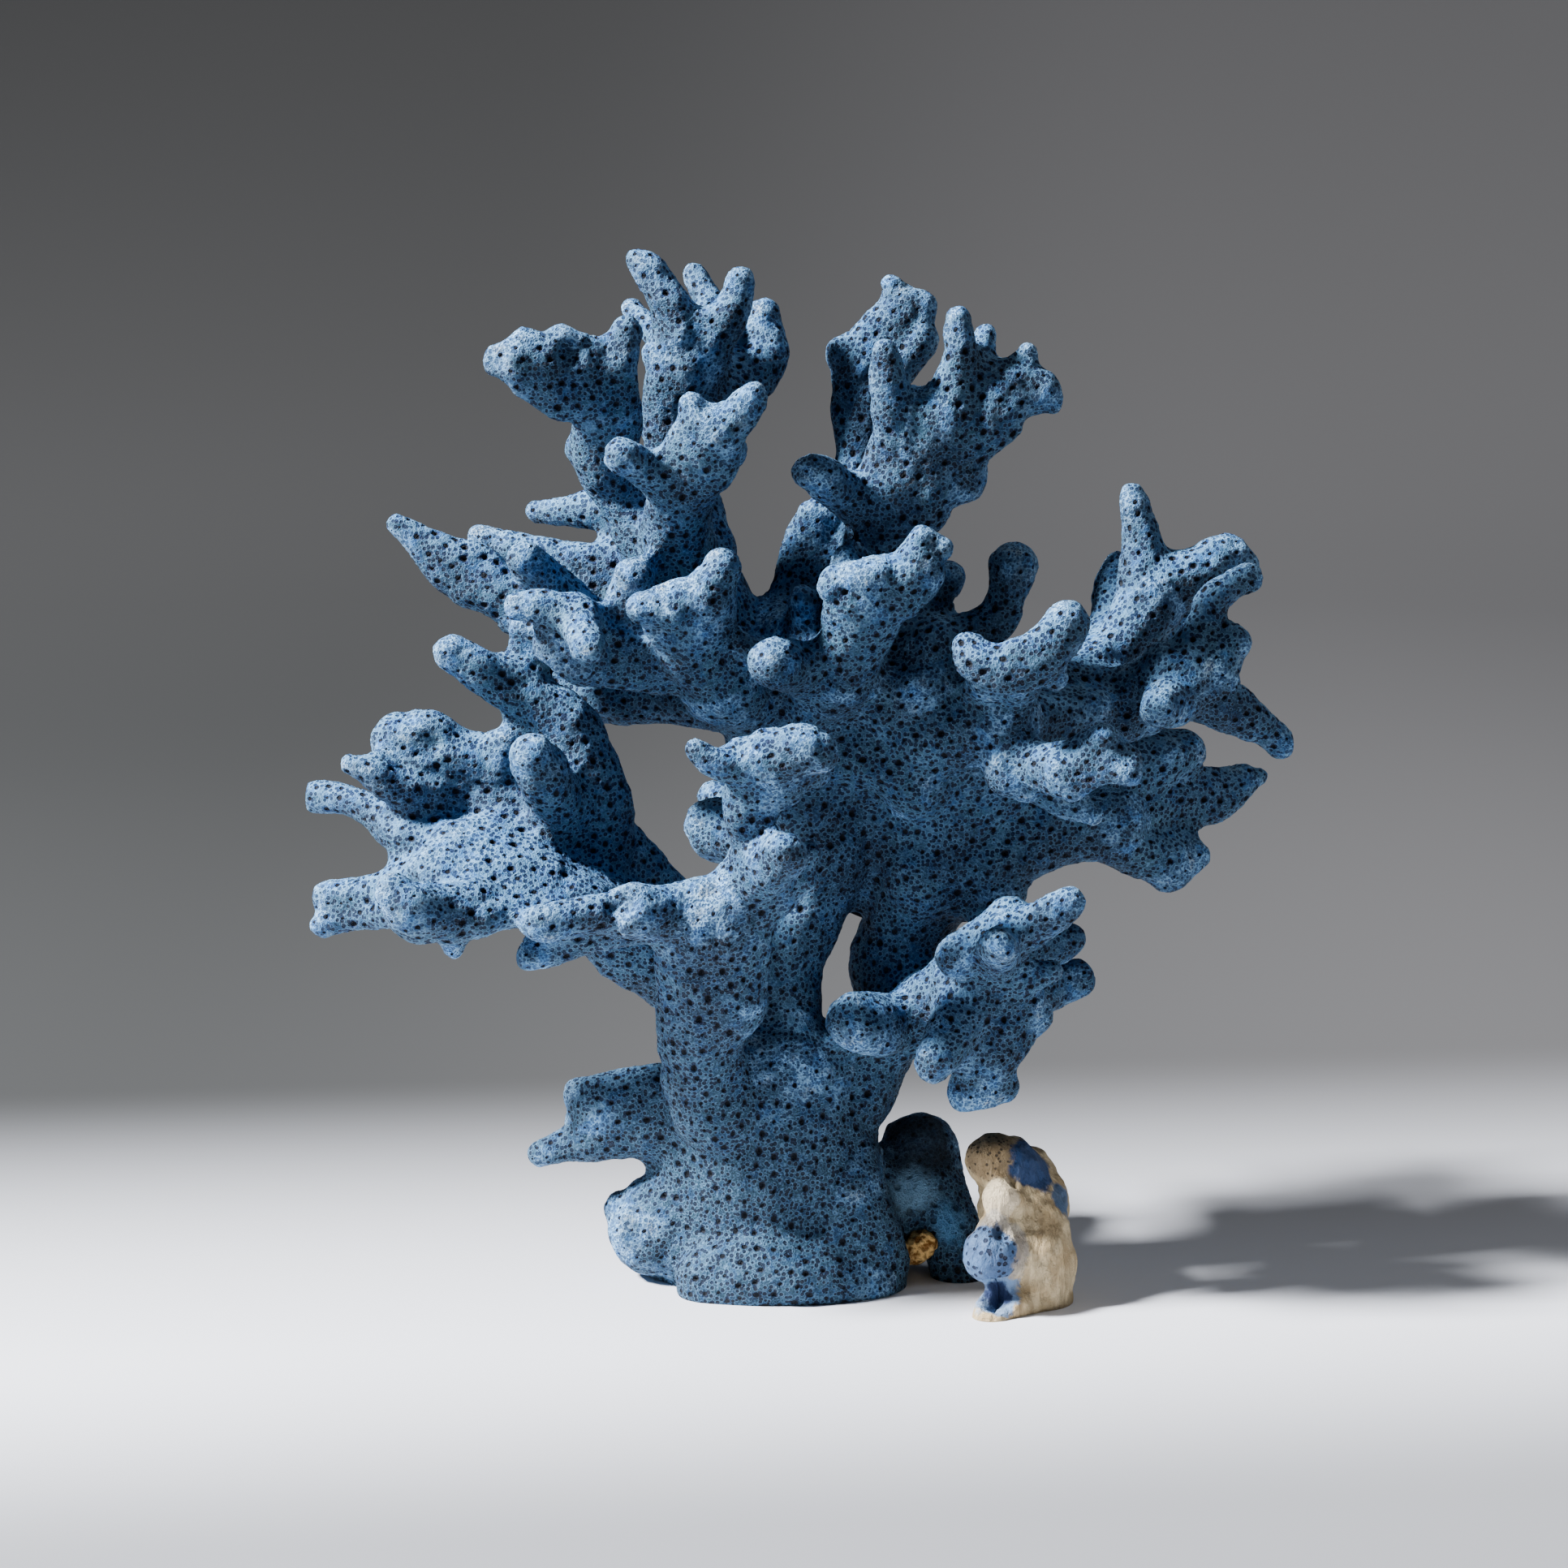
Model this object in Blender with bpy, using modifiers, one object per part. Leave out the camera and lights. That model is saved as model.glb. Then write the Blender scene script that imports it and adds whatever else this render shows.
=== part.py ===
"""Blue ridge coral skeleton: a branching colony about 170 mm tall, cut off flat where it grew from the rock.

Every limb is a rounded, more or less flattened finger or plate that is drawn out along its own path. The limbs of
one branch are fused into one solid, and the branches are parted at their main forks.

The limbs are laid out as they are seen from the front: u is to the right and v up on a drawing plane that stands
across the line of sight, both from the middle of the view, and d is how far a point lies in front of the trunk's
own plane. All of them are in millimetres. place() turns u, v and d into the colony's own frame: +X right, +Y back,
+Z up, with the origin on the flat cut at its foot.
"""

import math

import bmesh
import bpy
import numpy as np
from mathutils import Matrix, Vector

MM = 0.001

# How the drawing plane stands: the eye looks a little down on the colony.
VIEW_DISTANCE = 700.0
VIEW_ELEVATION = math.radians(10.0)
VIEW_HEIGHT = 83.0

# How the limbs are fused.
FORK_FILLET = 0.9
FUSE_GRID = 0.75
SMOOTH_PASSES = 6
PARTING_GAP = 0.35
FACET_AREA = 10.2
STEP_ALONG = 1.6
SIDES = 20
CAP_ROWS = 5
SHARP_ANGLE = math.radians(60)

# The ground below the flat cut.
GROUND_SIDE = 400.0
GROUND_DEPTH = 100.0

TOWARD = (0.0, 0.0, 1.0)


def limb(*stations, face=TOWARD):
    """One limb: its stations, each (u, v, d, radius) or (u, v, d, half width, half thickness), and where it faces."""
    return stations, face


BRANCHES = {
    "base": dict(
        foot=limb((-2, -94, -4, 18, 11), (-2, -72, -4, 18, 12), (-2, -58, -3, 17.5, 12.5), (-1, -46, -3, 13.5, 10)),
        front_lobe=limb((-11, -79.6, 6, 6.6), (-4, -79, 7.2, 7), (5, -79, 6.4, 7), (12, -80, 3, 7)),
        left_lump=limb((-12, -66, -5, 9), (-20.5, -71.3, -4, 7.8)),
        left_knob=limb((-20, -69, -5, 6), (-26.2, -68.3, -5, 2.9)),
        right_foot=limb((12.5, -92, 1, 7), (11.5, -76, 1, 8), (8, -64, 0, 8)),
        back_lobe=limb((-4, -92, -14, 8), (-6, -74, -14, 8), (-4, -62, -12, 7)),
        trunk=limb((0, -52, -4, 10, 9), (0.1, -40, -5, 6.6, 7.5), (0, -29, -6, 6, 7.5),
                   (3.5, -19, -6, 7, 8), (5.5, -8, -5, 8.5, 8), (2, 4, -4, 10.5, 8), (0, 14, -4, 10, 8),
                   (0, 22, -5, 9, 8)),
        crown_left=limb((0, 12, -3, 7), (-10, 16, 2, 6.5)),
        crown_right=limb((1, 18, -4, 8), (11, 24, -3, 7)),
        right_stem=limb((5, -56, -3, 9), (12, -47, -6, 6.6), (17.6, -37, -9, 6.2), (18.3, -28, -12, 7.6),
                        (23.4, -18, -10, 6.6)),
        low_finger=limb((17, -38.5, 0, 5), (13.5, -38.5, 5, 5), (11.8, -38.5, 7, 4.7)),
    ),
    "base_spur": dict(
        body=limb((-13, -54, -2, 8.5, 7), (-22, -52.8, -4, 7.6, 6), (-29.5, -53.2, -5, 6.2, 5)),
        tip=limb((-27, -55.5, -4, 4.8), (-33.5, -57.7, -4, 3.4), (-39.2, -59.6, -3, 1.7)),
        knob=limb((-28, -51, -5, 4), (-32.4, -49.9, -7, 2.9)),
    ),
    "front_fan": dict(
        stem=limb((-10, -52, 4, 8.5, 8), (-13.3, -43, 8, 7, 6.5), (-12, -35, 12, 8.6, 6.5), (-11.3, -28, 16, 9.2, 5.5),
                  (-11.5, -21, 19, 10, 4.6), (-12, -18.5, 19, 9, 3.6)),
        pouch=limb((-10, -29, 15, 6, 5), (-7.6, -35.4, 13.5, 5)),
        ear=limb((-18, -21, 19, 4.5), (-24.3, -20, 23, 4.3)),
        upper_finger=limb((-22, -20.5, 22, 3.6), (-31.5, -21, 24, 3.1), (-39.6, -22.3, 26, 2.7)),
        lower_finger=limb((-22, -23, 19, 2.6), (-32, -25, 20, 2.4), (-40.7, -28, 21, 2)),
        shoulder=limb((-9, -19, 19, 4.2), (-5, -15.5, 21, 4.2), (-1.6, -12.7, 27, 4.2), (0, -11.2, 30, 3.3)),
        shoulder_back=limb((-4, -14, 19, 3.6), (1, -13, 20, 2.6), (3.9, -11, 21, 1.6)),
        shoulder_right=limb((-5, -20, 18, 4.6), (0, -16.5, 19, 3.6), (3, -15.2, 20, 2.4)),
        neck=limb((-7.3, -15, 19, 3.6, 3.6), (-6, -9.5, 21, 2.3, 3), (-5.6, -4.5, 24, 4, 3.2), (-3.6, 0.5, 27, 7, 3.6),
                  (-2.6, 3.4, 28, 8, 3.4)),
        left_horn=limb((-5, 2.5, 28, 3.4), (-10.5, 3.2, 30, 2.9), (-14.1, 5.7, 31, 1.6)),
        right_horn=limb((-2, 4.5, 29, 4.4), (3, 5.6, 31, 4.1), (5.3, 5.2, 31, 3.4)),
        right_lip=limb((0, 2, 26, 3.4), (5, 1.8, 26, 2.2)),
    ),
    "left_branch": dict(
        stem=limb((-6, -34, -7, 8, 6.5), (-16, -28, -6, 9.5, 6), (-25, -20, -3, 10.5, 5.5), (-31, -10, 0, 8, 5.5)),
        blade=limb((-29, -12, 1, 5.5), (-30.5, -1, 3, 5.2), (-34.5, 8.5, 3, 5), (-40, 13.8, 3, 4.6), (-47, 17.4, 5, 4),
                   (-53.2, 21, 6, 3.1)),
        blade_web=limb((-33, 3, 2, 5), (-39.5, 9.5, 1, 4), (-42.5, 13.5, 2, 3)),
        lower_plate=limb((-29, -17, 3, 8, 4.2), (-37, -15, 12, 9.4, 3.4), (-44.5, -14, 15.5, 9, 2.8), (-51.5, -13.4, 16, 8, 2.6),
                         (-56.4, -13.4, 15, 5.6, 2.6), face=(-0.3, 0.72, 0.62)),
        plate_rim=limb((-37, -9, 4, 3.4), (-46, -8, 9, 2.6), (-54, -8.6, 10, 2.7)),
        lower_rim=limb((-36, -20.5, 14, 3.6), (-43, -20, 21, 2.8), (-49, -21.6, 24, 3)),
        lower_lobe=limb((-47, -19.5, 20, 4.2), (-55.5, -21, 25, 5.2, 4.6), (-61, -19.4, 28, 4.8, 4), (-62.6, -17.8, 28, 3.4)),
        lower_nub=limb((-54, -23, 22, 3.4), (-53.2, -26.2, 22, 1.9)),
        low_finger_a=limb((-56, -15, 14, 4.2), (-66, -17.2, 8, 3), (-73.3, -18.4, 5, 2.3)),
        low_finger_b=limb((-60, -19, 14, 3.6), (-68, -21.7, 8, 2.3), (-74.2, -22.7, 6, 2)),
        far_finger=limb((-54, -10.4, 8, 4.4), (-61, -7.6, 4, 4.4), (-66.5, -4.4, 0, 3.1), (-70, -2.6, -2, 2.9),
                        (-75.6, -2.1, -5, 1.9)),
        upper_plate=limb((-32, -5, 2, 6, 5), (-42, -1.9, 3, 5.8, 4.2), (-50.5, -1.6, 2, 5.2, 4), (-56.5, -1.8, 2, 4.4, 3.4),
                         face=(0, 0.3, 0.95)),
        club=limb((-44, 1.5, 2, 4.4), (-51.5, 4, 2, 4.7), (-58, 6.5, 2, 5.3), (-61.6, 7, 2, 4.4)),
        club_knob=limb((-46, 2, 3, 4), (-45, 6, 4, 2.8)),
        long_finger=limb((-53, -1, 3, 3.4), (-61, -0.4, 7, 3.2), (-67, 2.2, 9, 2.6), (-70, 3.3, 9, 1.6)),
        long_nub=limb((-64, 1.2, 8, 2.6), (-66, 3.8, 8, 1.2)),
        near_finger=limb((-34, -5, 5, 4.8), (-37, -1.6, 11, 4.4), (-39, 2.4, 15, 4), (-40.4, 4.8, 17, 3)),
        back_finger=limb((-31, -6, -3, 5), (-38, -4, -16, 4), (-45, 0, -27, 2.8)),
        back_fork=limb((-35, -5, -10, 4), (-41, -11, -24, 2.8)),
    ),
    "right_plate": dict(
        stem=limb((20, -22, -11, 7.5, 7), (23, -13, -7, 9, 6.5), (27, -3, -2, 12.5, 6), (29, 6, 1, 13, 5.5),
                  (29, 9, 1, 11, 5)),
        left_edge=limb((7, 6, 0, 6), (17, 4, 2, 6.2), (22, 0, 2, 6)),
        inner_web=limb((14, -9, -6, 4.6), (15.5, -3, -5, 5.4), (14, 4, -3, 6)),
        lower_web=limb((22, -14, -4, 8, 6), (34, -10.5, -3, 7.5, 5.5), (45, -6.5, -4, 6.6, 5), (53, -5.5, -6, 6.4, 5)),
        low_knob=limb((52, -8, -7, 4.6), (59, -11, -9, 4.1), (62.5, -13, -10, 4)),
        low_knob_tip=limb((61, -11.5, -10, 3.6), (66, -11.4, -11, 2.6)),
        right_finger=limb((52, -3, -8, 5), (62, -3, -14, 5.2, 4.4), (68.5, -1.7, -17, 4.6, 3.6), (73.5, 0.4, -19, 3, 2.8),
                          (76.2, 1.2, -20, 1.7, 1.7)),
        back_stub=limb((52, 0, -7, 5), (59, 3.8, -11, 4.6), (63.5, 4.8, -13, 3.8)),
        stub_knob=limb((61, 4.5, -10, 2.4), (62.3, 5, -7.5, 1.3)),
        back_finger=limb((30, -4, -4, 7), (36, -3, -20, 5.2), (41, 1, -34, 3.2)),
        back_fork_a=limb((34, -4, -16, 4.6), (31, 2, -32, 3.4)),
        back_fork_b=limb((37, -3, -22, 4), (42, -7, -33, 2.8)),
    ),
    "right_low_branch": dict(
        stem=limb((15, -41, -6, 6), (24, -36, -1, 6.2, 5.2), (32, -31, 4, 7.4, 5)),
        plate=limb((33, -27, 4, 6.5, 5), (32.5, -33, 6, 9, 4.6), (32.5, -40, 7, 8, 4.2), (32, -45.5, 8, 5.4, 3.8),
                   (31.5, -49, 8, 4.6, 3.2)),
        corner_left=limb((30.5, -47, 8, 3.4), (29, -50.1, 8, 2.6)),
        corner_right=limb((33, -46.5, 8, 3.4), (35.2, -48.5, 7, 2.8)),
        side_knob=limb((35, -37.5, 6, 4.4), (39.8, -37, 5, 3.2)),
        near_finger=limb((29, -36, 8, 5), (26.4, -41.6, 13, 4.3), (24.6, -44.4, 16, 3.3)),
        ledge=limb((34, -25.5, 9, 4.6), (28.3, -27.3, 13, 3.6)),
        top_ledge=limb((33, -26, 9, 4.6), (36.3, -21.6, 12, 3.8)),
        near_tip=limb((33, -27.5, 9, 5.2), (34.4, -26.6, 17, 4), (34.9, -26, 23, 3), (35, -25.8, 25, 2.3)),
        up_finger=limb((33, -26.5, 11, 4.4), (39.5, -22.9, 16, 3.8), (43.6, -20.4, 19, 3.4), (46, -18.9, 20, 2.7)),
        up_web=limb((31, -25.5, 12, 3.6), (36, -23.4, 15, 3.2)),
        side_finger=limb((33, -31.5, 8, 3.4), (39, -30.8, 10, 2.8), (42.9, -30, 11, 1.8)),
        back_finger=limb((34, -34, 2, 4.6), (42, -33, -6, 3.6), (46.6, -31.4, -9, 2.6)),
        back_lobe=limb((35, -28, 2, 4.6), (42, -26, -1, 3.2), (45.3, -25.2, -2, 2.8)),
        rear_finger=limb((22, -37, -4, 5), (20, -33, -18, 4.2), (17, -28, -27, 3)),
    ),
    "right_front_cluster": dict(
        root=limb((22, 8, 4, 7), (31, 10, 9, 6), (36, 10, 11, 5)),
        left_lobe=limb((17, 12, 5, 5), (22.5, 16, 8, 5)),
        tall_arm=limb((22, 16, 8, 4.6), (23.8, 22, 7, 3.8), (29, 24.3, 5, 3), (34, 26, 4, 3.1), (36.2, 31, 4, 3.2),
                      (37, 35, 4, 3.8)),
        bowl_left=limb((31, 10.5, 6, 4.6), (31.4, 14, 10, 3.6), (32.5, 17.6, 18, 2.9)),
        bowl_floor=limb((34, 12, 7, 5), (36.6, 15.2, 13, 4.2, 3.4), (38, 18, 20, 4.2, 2.8)),
        saddle=limb((29.9, 21.9, 23, 2.7), (31.3, 19.8, 25, 4, 2.6), (35.4, 18.6, 26, 4.4, 2.4), (40, 19.8, 26, 4.4, 2.6),
                    (43.4, 23, 25, 4, 2.9), (46, 25.9, 23, 3.4, 3)),
        saddle_lip=limb((42, 19, 25, 2.8), (43.6, 17, 24, 1.9)),
        ridge=limb((35, 10, 11, 4.6), (36.4, 5, 12, 4.2), (35.8, 1.6, 13, 3.4)),
        nub_a=limb((35.5, 3, 14, 2.8), (36, 0.2, 15, 1.8)),
        nub_b=limb((37, 2, 12, 3), (38.6, -1.2, 13, 1.9)),
        recess=limb((36, 11, 7, 4.4), (43, 11, 5, 3.8), (50, 12.6, 2, 3)),
        recess_low=limb((40, 8.6, 5, 4.2), (48, 8.6, 1, 3.8), (55, 9.6, -2, 3.2), (59, 10, -3, 2.2)),
        gap_web=limb((23, 18, 6, 4.6), (29, 18, 5, 4)),
        shield_root=limb((37, 3, 9, 4.4), (42, 2.6, 17, 3.6)),
        shield=limb((41, 2.6, 17, 3.4, 2.8), (46.5, 2.6, 22, 4.9, 2.1), (51.4, 4.2, 24, 4.7, 1.8), (55.3, 3.3, 24, 3.4, 1.8),
                    face=(-0.25, 0.35, 0.9)),
        shield_point=limb((45, 2, 22, 3), (46.8, -0.9, 23, 1.7)),
        shield_peak=limb((49, 4, 23, 2.8), (51.4, 7.6, 24, 1.8)),
        shield_end=limb((52, 3.5, 24, 2.6), (55.4, 1.7, 25, 1.8)),
        drip_finger=limb((41, 0.5, 10, 3.8), (46.5, -3, 12, 3), (49.4, -4.9, 13, 1.9)),
    ),
    "right_far_branch": dict(
        arm=limb((38, 14, 1, 4.4), (46, 16.6, -2, 3.1), (53, 16.2, -3, 2.8), (58, 17.2, -2, 3.2)),
        star=limb((57, 15.5, -2, 3.6), (61.5, 16, 1, 5.8, 4), (67.5, 17, 0, 6.4, 3.8)),
        star_shoulder=limb((63, 18, 0, 4), (60.7, 20, 0, 2.4)),
        star_up=limb((65.5, 20, 0, 4.2), (67.8, 26, -1, 3), (69.3, 30, -2, 2.7), (74.7, 33, -4, 2.2)),
        star_side=limb((69, 18, 0, 3.6), (72.3, 22.8, 0, 2.7)),
        star_low=limb((67, 14.5, 0, 5.2, 3.6), (74, 10.4, -2, 3.7, 2.8), (80, 6.4, -4, 2, 1.9)),
        star_knob=limb((63.5, 14.6, 1, 4.8), (61.3, 12.6, 6, 3.9), (60.4, 12, 8.4, 2.9)),
        far_stem=limb((46, 16, -5, 4.2), (52.5, 21, -12, 4.2), (58, 27.5, -16, 5.4), (60, 31, -17, 5.6)),
        spike=limb((58, 28, -16, 4.6), (57.9, 35, -17, 3.9), (57.3, 41, -18, 3), (56, 46.7, -18, 1.7)),
        side_arm=limb((60, 31.5, -17, 5.4), (66.5, 33.8, -18, 4.5), (71.3, 36.7, -19, 3.6), (73.8, 35.2, -19, 2.6)),
        behind=limb((48, 19, -10, 4), (51.5, 25.5, -22, 3), (52.6, 31, -25, 2.6), (53.5, 35.6, -26, 1.5)),
        behind_right=limb((56, 21, -18, 3.6), (62, 24, -27, 3), (66.5, 27, -32, 2)),
    ),
    "upper_centre_fan": dict(
        root=limb((6, 14, 2, 7), (9, 18, 10, 6)),
        leaf=limb((8.5, 17, 9, 6), (11, 22.5, 14, 5.6, 5), (13, 28, 19, 6.4, 3.8), (13, 33, 21, 5.4, 3)),
        leaf_right=limb((10.5, 30.5, 20, 4.6, 3.2), (17.5, 31.3, 20, 5.2, 3.2), (22.3, 34.6, 20, 3.9, 3)),
        leaf_finger=limb((20.5, 35, 20, 3), (22.2, 39.4, 20, 2)),
        leaf_nub=limb((22.5, 36, 20, 2.8), (25.1, 37.9, 20, 1.8)),
        leaf_left=limb((10, 32, 20, 3.4), (8.6, 32, 20, 3)),
        side_finger=limb((7, 17, 8, 5.4), (2.5, 18.6, 14, 4.3), (-1.8, 19.6, 20, 3.9)),
        side_nub=limb((-1, 20.5, 14, 3), (-6.6, 22.2, 14, 1.9)),
        back_knob=limb((14, 24, 4, 4.6), (21.5, 29, 1, 3.6), (26.2, 33, 0, 2.9)),
        inner_knob=limb((3, 22, 0, 4), (3, 29.6, 5, 2)),
        thorn=limb((10.4, 31, 16, 3.6), (9.8, 36.8, 14, 1.5)),
        back_nub=limb((12, 14, -6, 5), (18, 20, -9, 2.7)),
    ),
    "upper_left_fan": dict(
        root=limb((-6, 14, 0, 7), (-10, 16, 7, 6.4)),
        leaf=limb((-10, 16, 7, 6.2, 5.6), (-13, 21, 12, 6.6, 4.6), (-14.8, 26.5, 17, 7.6, 3.8), (-15.6, 30, 19, 8, 3)),
        leaf_finger=limb((-12, 30, 19, 4.4), (-9.9, 34.8, 19, 3.2)),
        leaf_corner=limb((-18, 28, 19, 4), (-22.8, 28.3, 20, 2.5)),
        knob=limb((-20, 24, 6, 4.6), (-25, 29, 9, 3.3), (-24, 33.3, 11, 3.1)),
        hook_plate=limb((-12, 19, 5, 5.6, 5.4), (-23, 20.4, 8, 5.6, 4.8), (-31.5, 21.6, 12, 5.8, 4.2),
                        (-36.5, 23.8, 13, 4.4, 3.4)),
        hook_finger=limb((-33, 26, 14, 4), (-38.8, 28.3, 16, 2.8), (-42.8, 28.4, 16, 2)),
        hook_tip=limb((-33.5, 27, 15, 3.4), (-32, 24, 20, 2.9), (-31.3, 22.3, 23, 2.6)),
        long_root=limb((-26, 22, 2, 5), (-34, 26, -1, 5), (-42, 28.5, -3, 4.4)),
        long_finger=limb((-41, 29, -3, 4.4), (-45.5, 31, -3, 4.6), (-50, 33.7, -3, 5.2, 3.6), (-55, 36.4, -3, 4.1, 3.2),
                         (-58.8, 39.2, -3, 2.6), (-62.2, 41.7, -3, 1.8)),
        long_knob=limb((-34, 28, 1, 4), (-38.6, 33, 4, 3.7), (-41.7, 36.3, 7, 2.5)),
        under_lobe=limb((-36, 24, 3, 4), (-41, 25, 2, 2.8)),
    ),
    "upper_left_rear_fan": dict(
        root=limb((-5, 14, -7, 6.5), (-9, 21, -8, 6.5), (-13, 28, -9, 5.5)),
        plate=limb((-10, 28, -9, 7, 4.5), (-24, 31.5, -11, 6.6, 3.6), (-34, 33.4, -12, 5.4, 3.2), (-39, 35, -13, 3.2, 2.6)),
        plate_tip=limb((-38, 36.5, -13, 2.8), (-45.5, 38.6, -17, 2), (-48.8, 39.9, -18, 1.6)),
        low_band=limb((-6, 13.5, -8, 6, 5), (-19, 14.2, -12, 4.6, 5), (-31, 14.3, -15, 4.6, 4.6), (-38.6, 18.6, -17, 3)),
        rear_finger=limb((-20, 30, -12, 5), (-27, 33, -25, 4), (-32, 35, -36, 2.6)),
        rear_fork=limb((-24, 14, -13, 4.4), (-28, 18, -25, 3.4), (-30, 19, -32, 2.4)),
    ),
    "top_left_branch": dict(
        root=limb((-10, 24, -4, 7.5), (-16, 34, -2, 7)),
        hand=limb((-16, 33, -1, 6.6), (-17, 40, 5, 5.8), (-16.3, 46.5, 11, 5.6, 4.8), (-13.6, 52.5, 16, 6.6, 4.4),
                  (-11.7, 57.5, 19, 5.8, 3.6)),
        hand_left=limb((-17.5, 48, 13, 4.4), (-22.5, 51, 17, 3), (-26.1, 52.7, 20, 2.7)),
        hand_right=limb((-9, 58, 19, 3.8), (-4.9, 62, 20, 2.6)),
        hand_middle=limb((-14, 58, 19, 3.2), (-14.8, 61, 19, 2.3)),
        hand_back=limb((-12, 52, 13, 5), (-8.6, 53.5, 12, 2.8)),
        wing_stem=limb((-17, 35, -3, 6.2), (-25, 44.5, -4, 4.8), (-29, 51.5, -2, 4.8), (-29, 58, 2, 5.8, 4.4),
                       (-28.8, 64.5, 5, 6, 3.8)),
        wing=limb((-29, 64, 5, 7.4, 4), (-36, 66, 8, 7.2, 3.4), (-43, 67.8, 10, 5.2, 3), (-46.2, 68, 10, 3.2, 2.4)),
        wing_finger=limb((-27.4, 67, 5, 4.4), (-25.5, 72.3, 5, 2.5)),
        wing_bump_a=limb((-36, 69, 8, 3.6), (-35.8, 71.6, 8, 2.3)),
        wing_bump_b=limb((-42, 68.6, 9, 3.6), (-41.7, 70.9, 9, 2.8)),
        wing_knob=limb((-30.5, 53, -2, 3.6), (-32.4, 53.7, -3, 2.3)),
        blade_stem=limb((-13, 32, -6, 6), (-14.5, 43, -12, 5.2), (-17.3, 52, -14, 4.8), (-18.6, 58.3, -13, 4.6, 4),
                        (-16.6, 65, -10, 5.4, 3.6), (-14, 71, -9, 7, 3.3)),
        blade_left=limb((-16.5, 73, -9, 3.8), (-19.6, 78.5, -9, 3.1), (-21.6, 82, -10, 2.7), (-23.6, 84.4, -11, 2)),
        blade_right=limb((-10.4, 72.5, -9, 3.8), (-7.3, 77.8, -9, 2.9), (-6.9, 80.7, -9, 2.2)),
        blade_web=limb((-19, 75, -9, 2.8), (-13.8, 73.8, -9, 2.6), (-8.4, 75, -9, 2.8)),
        blade_nub=limb((-18, 67.5, -10, 3), (-20.4, 69, -10, 2)),
        rear_left=limb((-17, 68, -12, 3.4), (-21, 73, -20, 2.6), (-24.2, 76.2, -24, 1.9)),
        rear_middle=limb((-13, 68, -13, 4), (-12, 75, -22, 2.7), (-14.4, 82, -26, 1.9)),
        rear_right=limb((-13, 60, -13, 4.4), (-5, 66, -20, 4.4), (-3, 70, -22, 3.8), (-3.4, 75.3, -23, 2.4)),
        low_finger=limb((-18, 38, -8, 4.8), (-26, 42.4, -15, 3.6), (-33, 44.2, -19, 2.8), (-39.7, 43.6, -23, 1.8)),
    ),
    "top_right_branch": dict(
        root=limb((9, 24, -4, 7), (13.5, 33, 1, 6.4)),
        palm=limb((13.5, 32, 0, 6.4), (15.3, 40, 5, 6.4, 5.6), (19.8, 47.5, 9, 8.2, 5), (22.8, 54.5, 11, 8.4, 4.4),
                  (24, 59, 12, 7.4, 4)),
        palm_bulge=limb((22, 48, 9, 5), (27.5, 49.6, 8, 4.9)),
        thumb=limb((14, 43, 7, 4.6), (8.8, 47.2, 12, 3.6), (4.7, 50.2, 15, 2.9)),
        finger_left=limb((18.4, 56, 12, 4), (17.5, 62, 13, 3.2), (16.6, 66.3, 14, 2.5), (15.8, 69.7, 15, 1.6)),
        finger_middle=limb((26.5, 60, 12, 4.6), (28, 67.5, 12, 3.3), (28, 73, 12, 2.3), (27.9, 75, 12, 1.9)),
        paddle=limb((26, 55, 11, 6.5, 4), (32.5, 59.6, 11, 6.4, 3.7), (37.6, 63, 10, 6, 3.2), (41.6, 63, 10, 3.6, 2.6)),
        paddle_peak=limb((36.5, 65, 10, 3.4), (38.9, 69, 9, 1.8)),
        paddle_end=limb((39, 62, 10, 3), (43, 61.3, 10, 1.9)),
        paddle_ridge=limb((31, 67, 8, 3), (32.2, 72, 5, 1.4)),
        blade=limb((12, 32, -7, 6), (11.9, 43, -12, 5), (11.9, 53, -14, 4, 3.8), (12.4, 62, -15, 4.7, 3.4),
                   (15.2, 69, -16, 5.6, 3.2), (18.6, 74.6, -17, 4.8, 2.9), (19.6, 77.6, -17, 3.6, 2.4)),
        blade_corner=limb((12, 66.5, -15, 3.8), (9.4, 69, -15, 2.3)),
        blade_point=limb((18, 77, -17, 2.6), (17.3, 79.9, -17, 1.3)),
        blade_top=limb((17.6, 78.2, -17, 2.7, 2), (22.4, 76.2, -17, 2.6, 2)),
        blade_belly=limb((18, 67, -16, 3.6), (21.3, 71.5, -17, 3.4)),
        spur=limb((3, 20, -6, 7, 6), (3, 30, -8, 5.2, 4.6), (4, 37.5, -9, 4.8, 3.8), (5.4, 42.6, -9, 3.1, 2.8)),
        rear_finger=limb((12, 48, -13, 4.4), (15.5, 54, -26, 3.2), (18, 58, -33, 2.3)),
    ),
    "back_branch": dict(
        root=limb((4, -14, -8, 7), (4, -4, -20, 6), (7, 5, -31, 6.4, 4.2), (7, 12, -38, 6.4, 3.6)),
        left_lobe=limb((1, -10, -12, 6), (-6, -8.4, -19, 5), (-11.4, -7.4, -23, 4.6)),
        light_finger=limb((-4, -5, -24, 4), (-11.6, -2, -33, 2.4)),
        fork_a=limb((4, 12, -37, 3.8), (0, 18, -44, 2.8)),
        fork_b=limb((9, 13, -38, 3.6), (12.5, 19, -44, 2.6)),
        fork_c=limb((9, 5, -32, 4), (15, 7, -42, 2.8)),
    ),
    "back_low_branch": dict(
        root=limb((6, -52, -10, 7), (12, -47, -20, 5.2), (15, -42.5, -29, 3.8)),
        fork=limb((9, -49, -18, 4.6), (5, -51, -29, 3.2)),
    ),
    "base_lump": dict(
        shoulder=limb((12, -68, -8, 8), (20.5, -65, -10, 7.4, 6), (21.8, -58.6, -12, 6, 5.6)),
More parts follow.
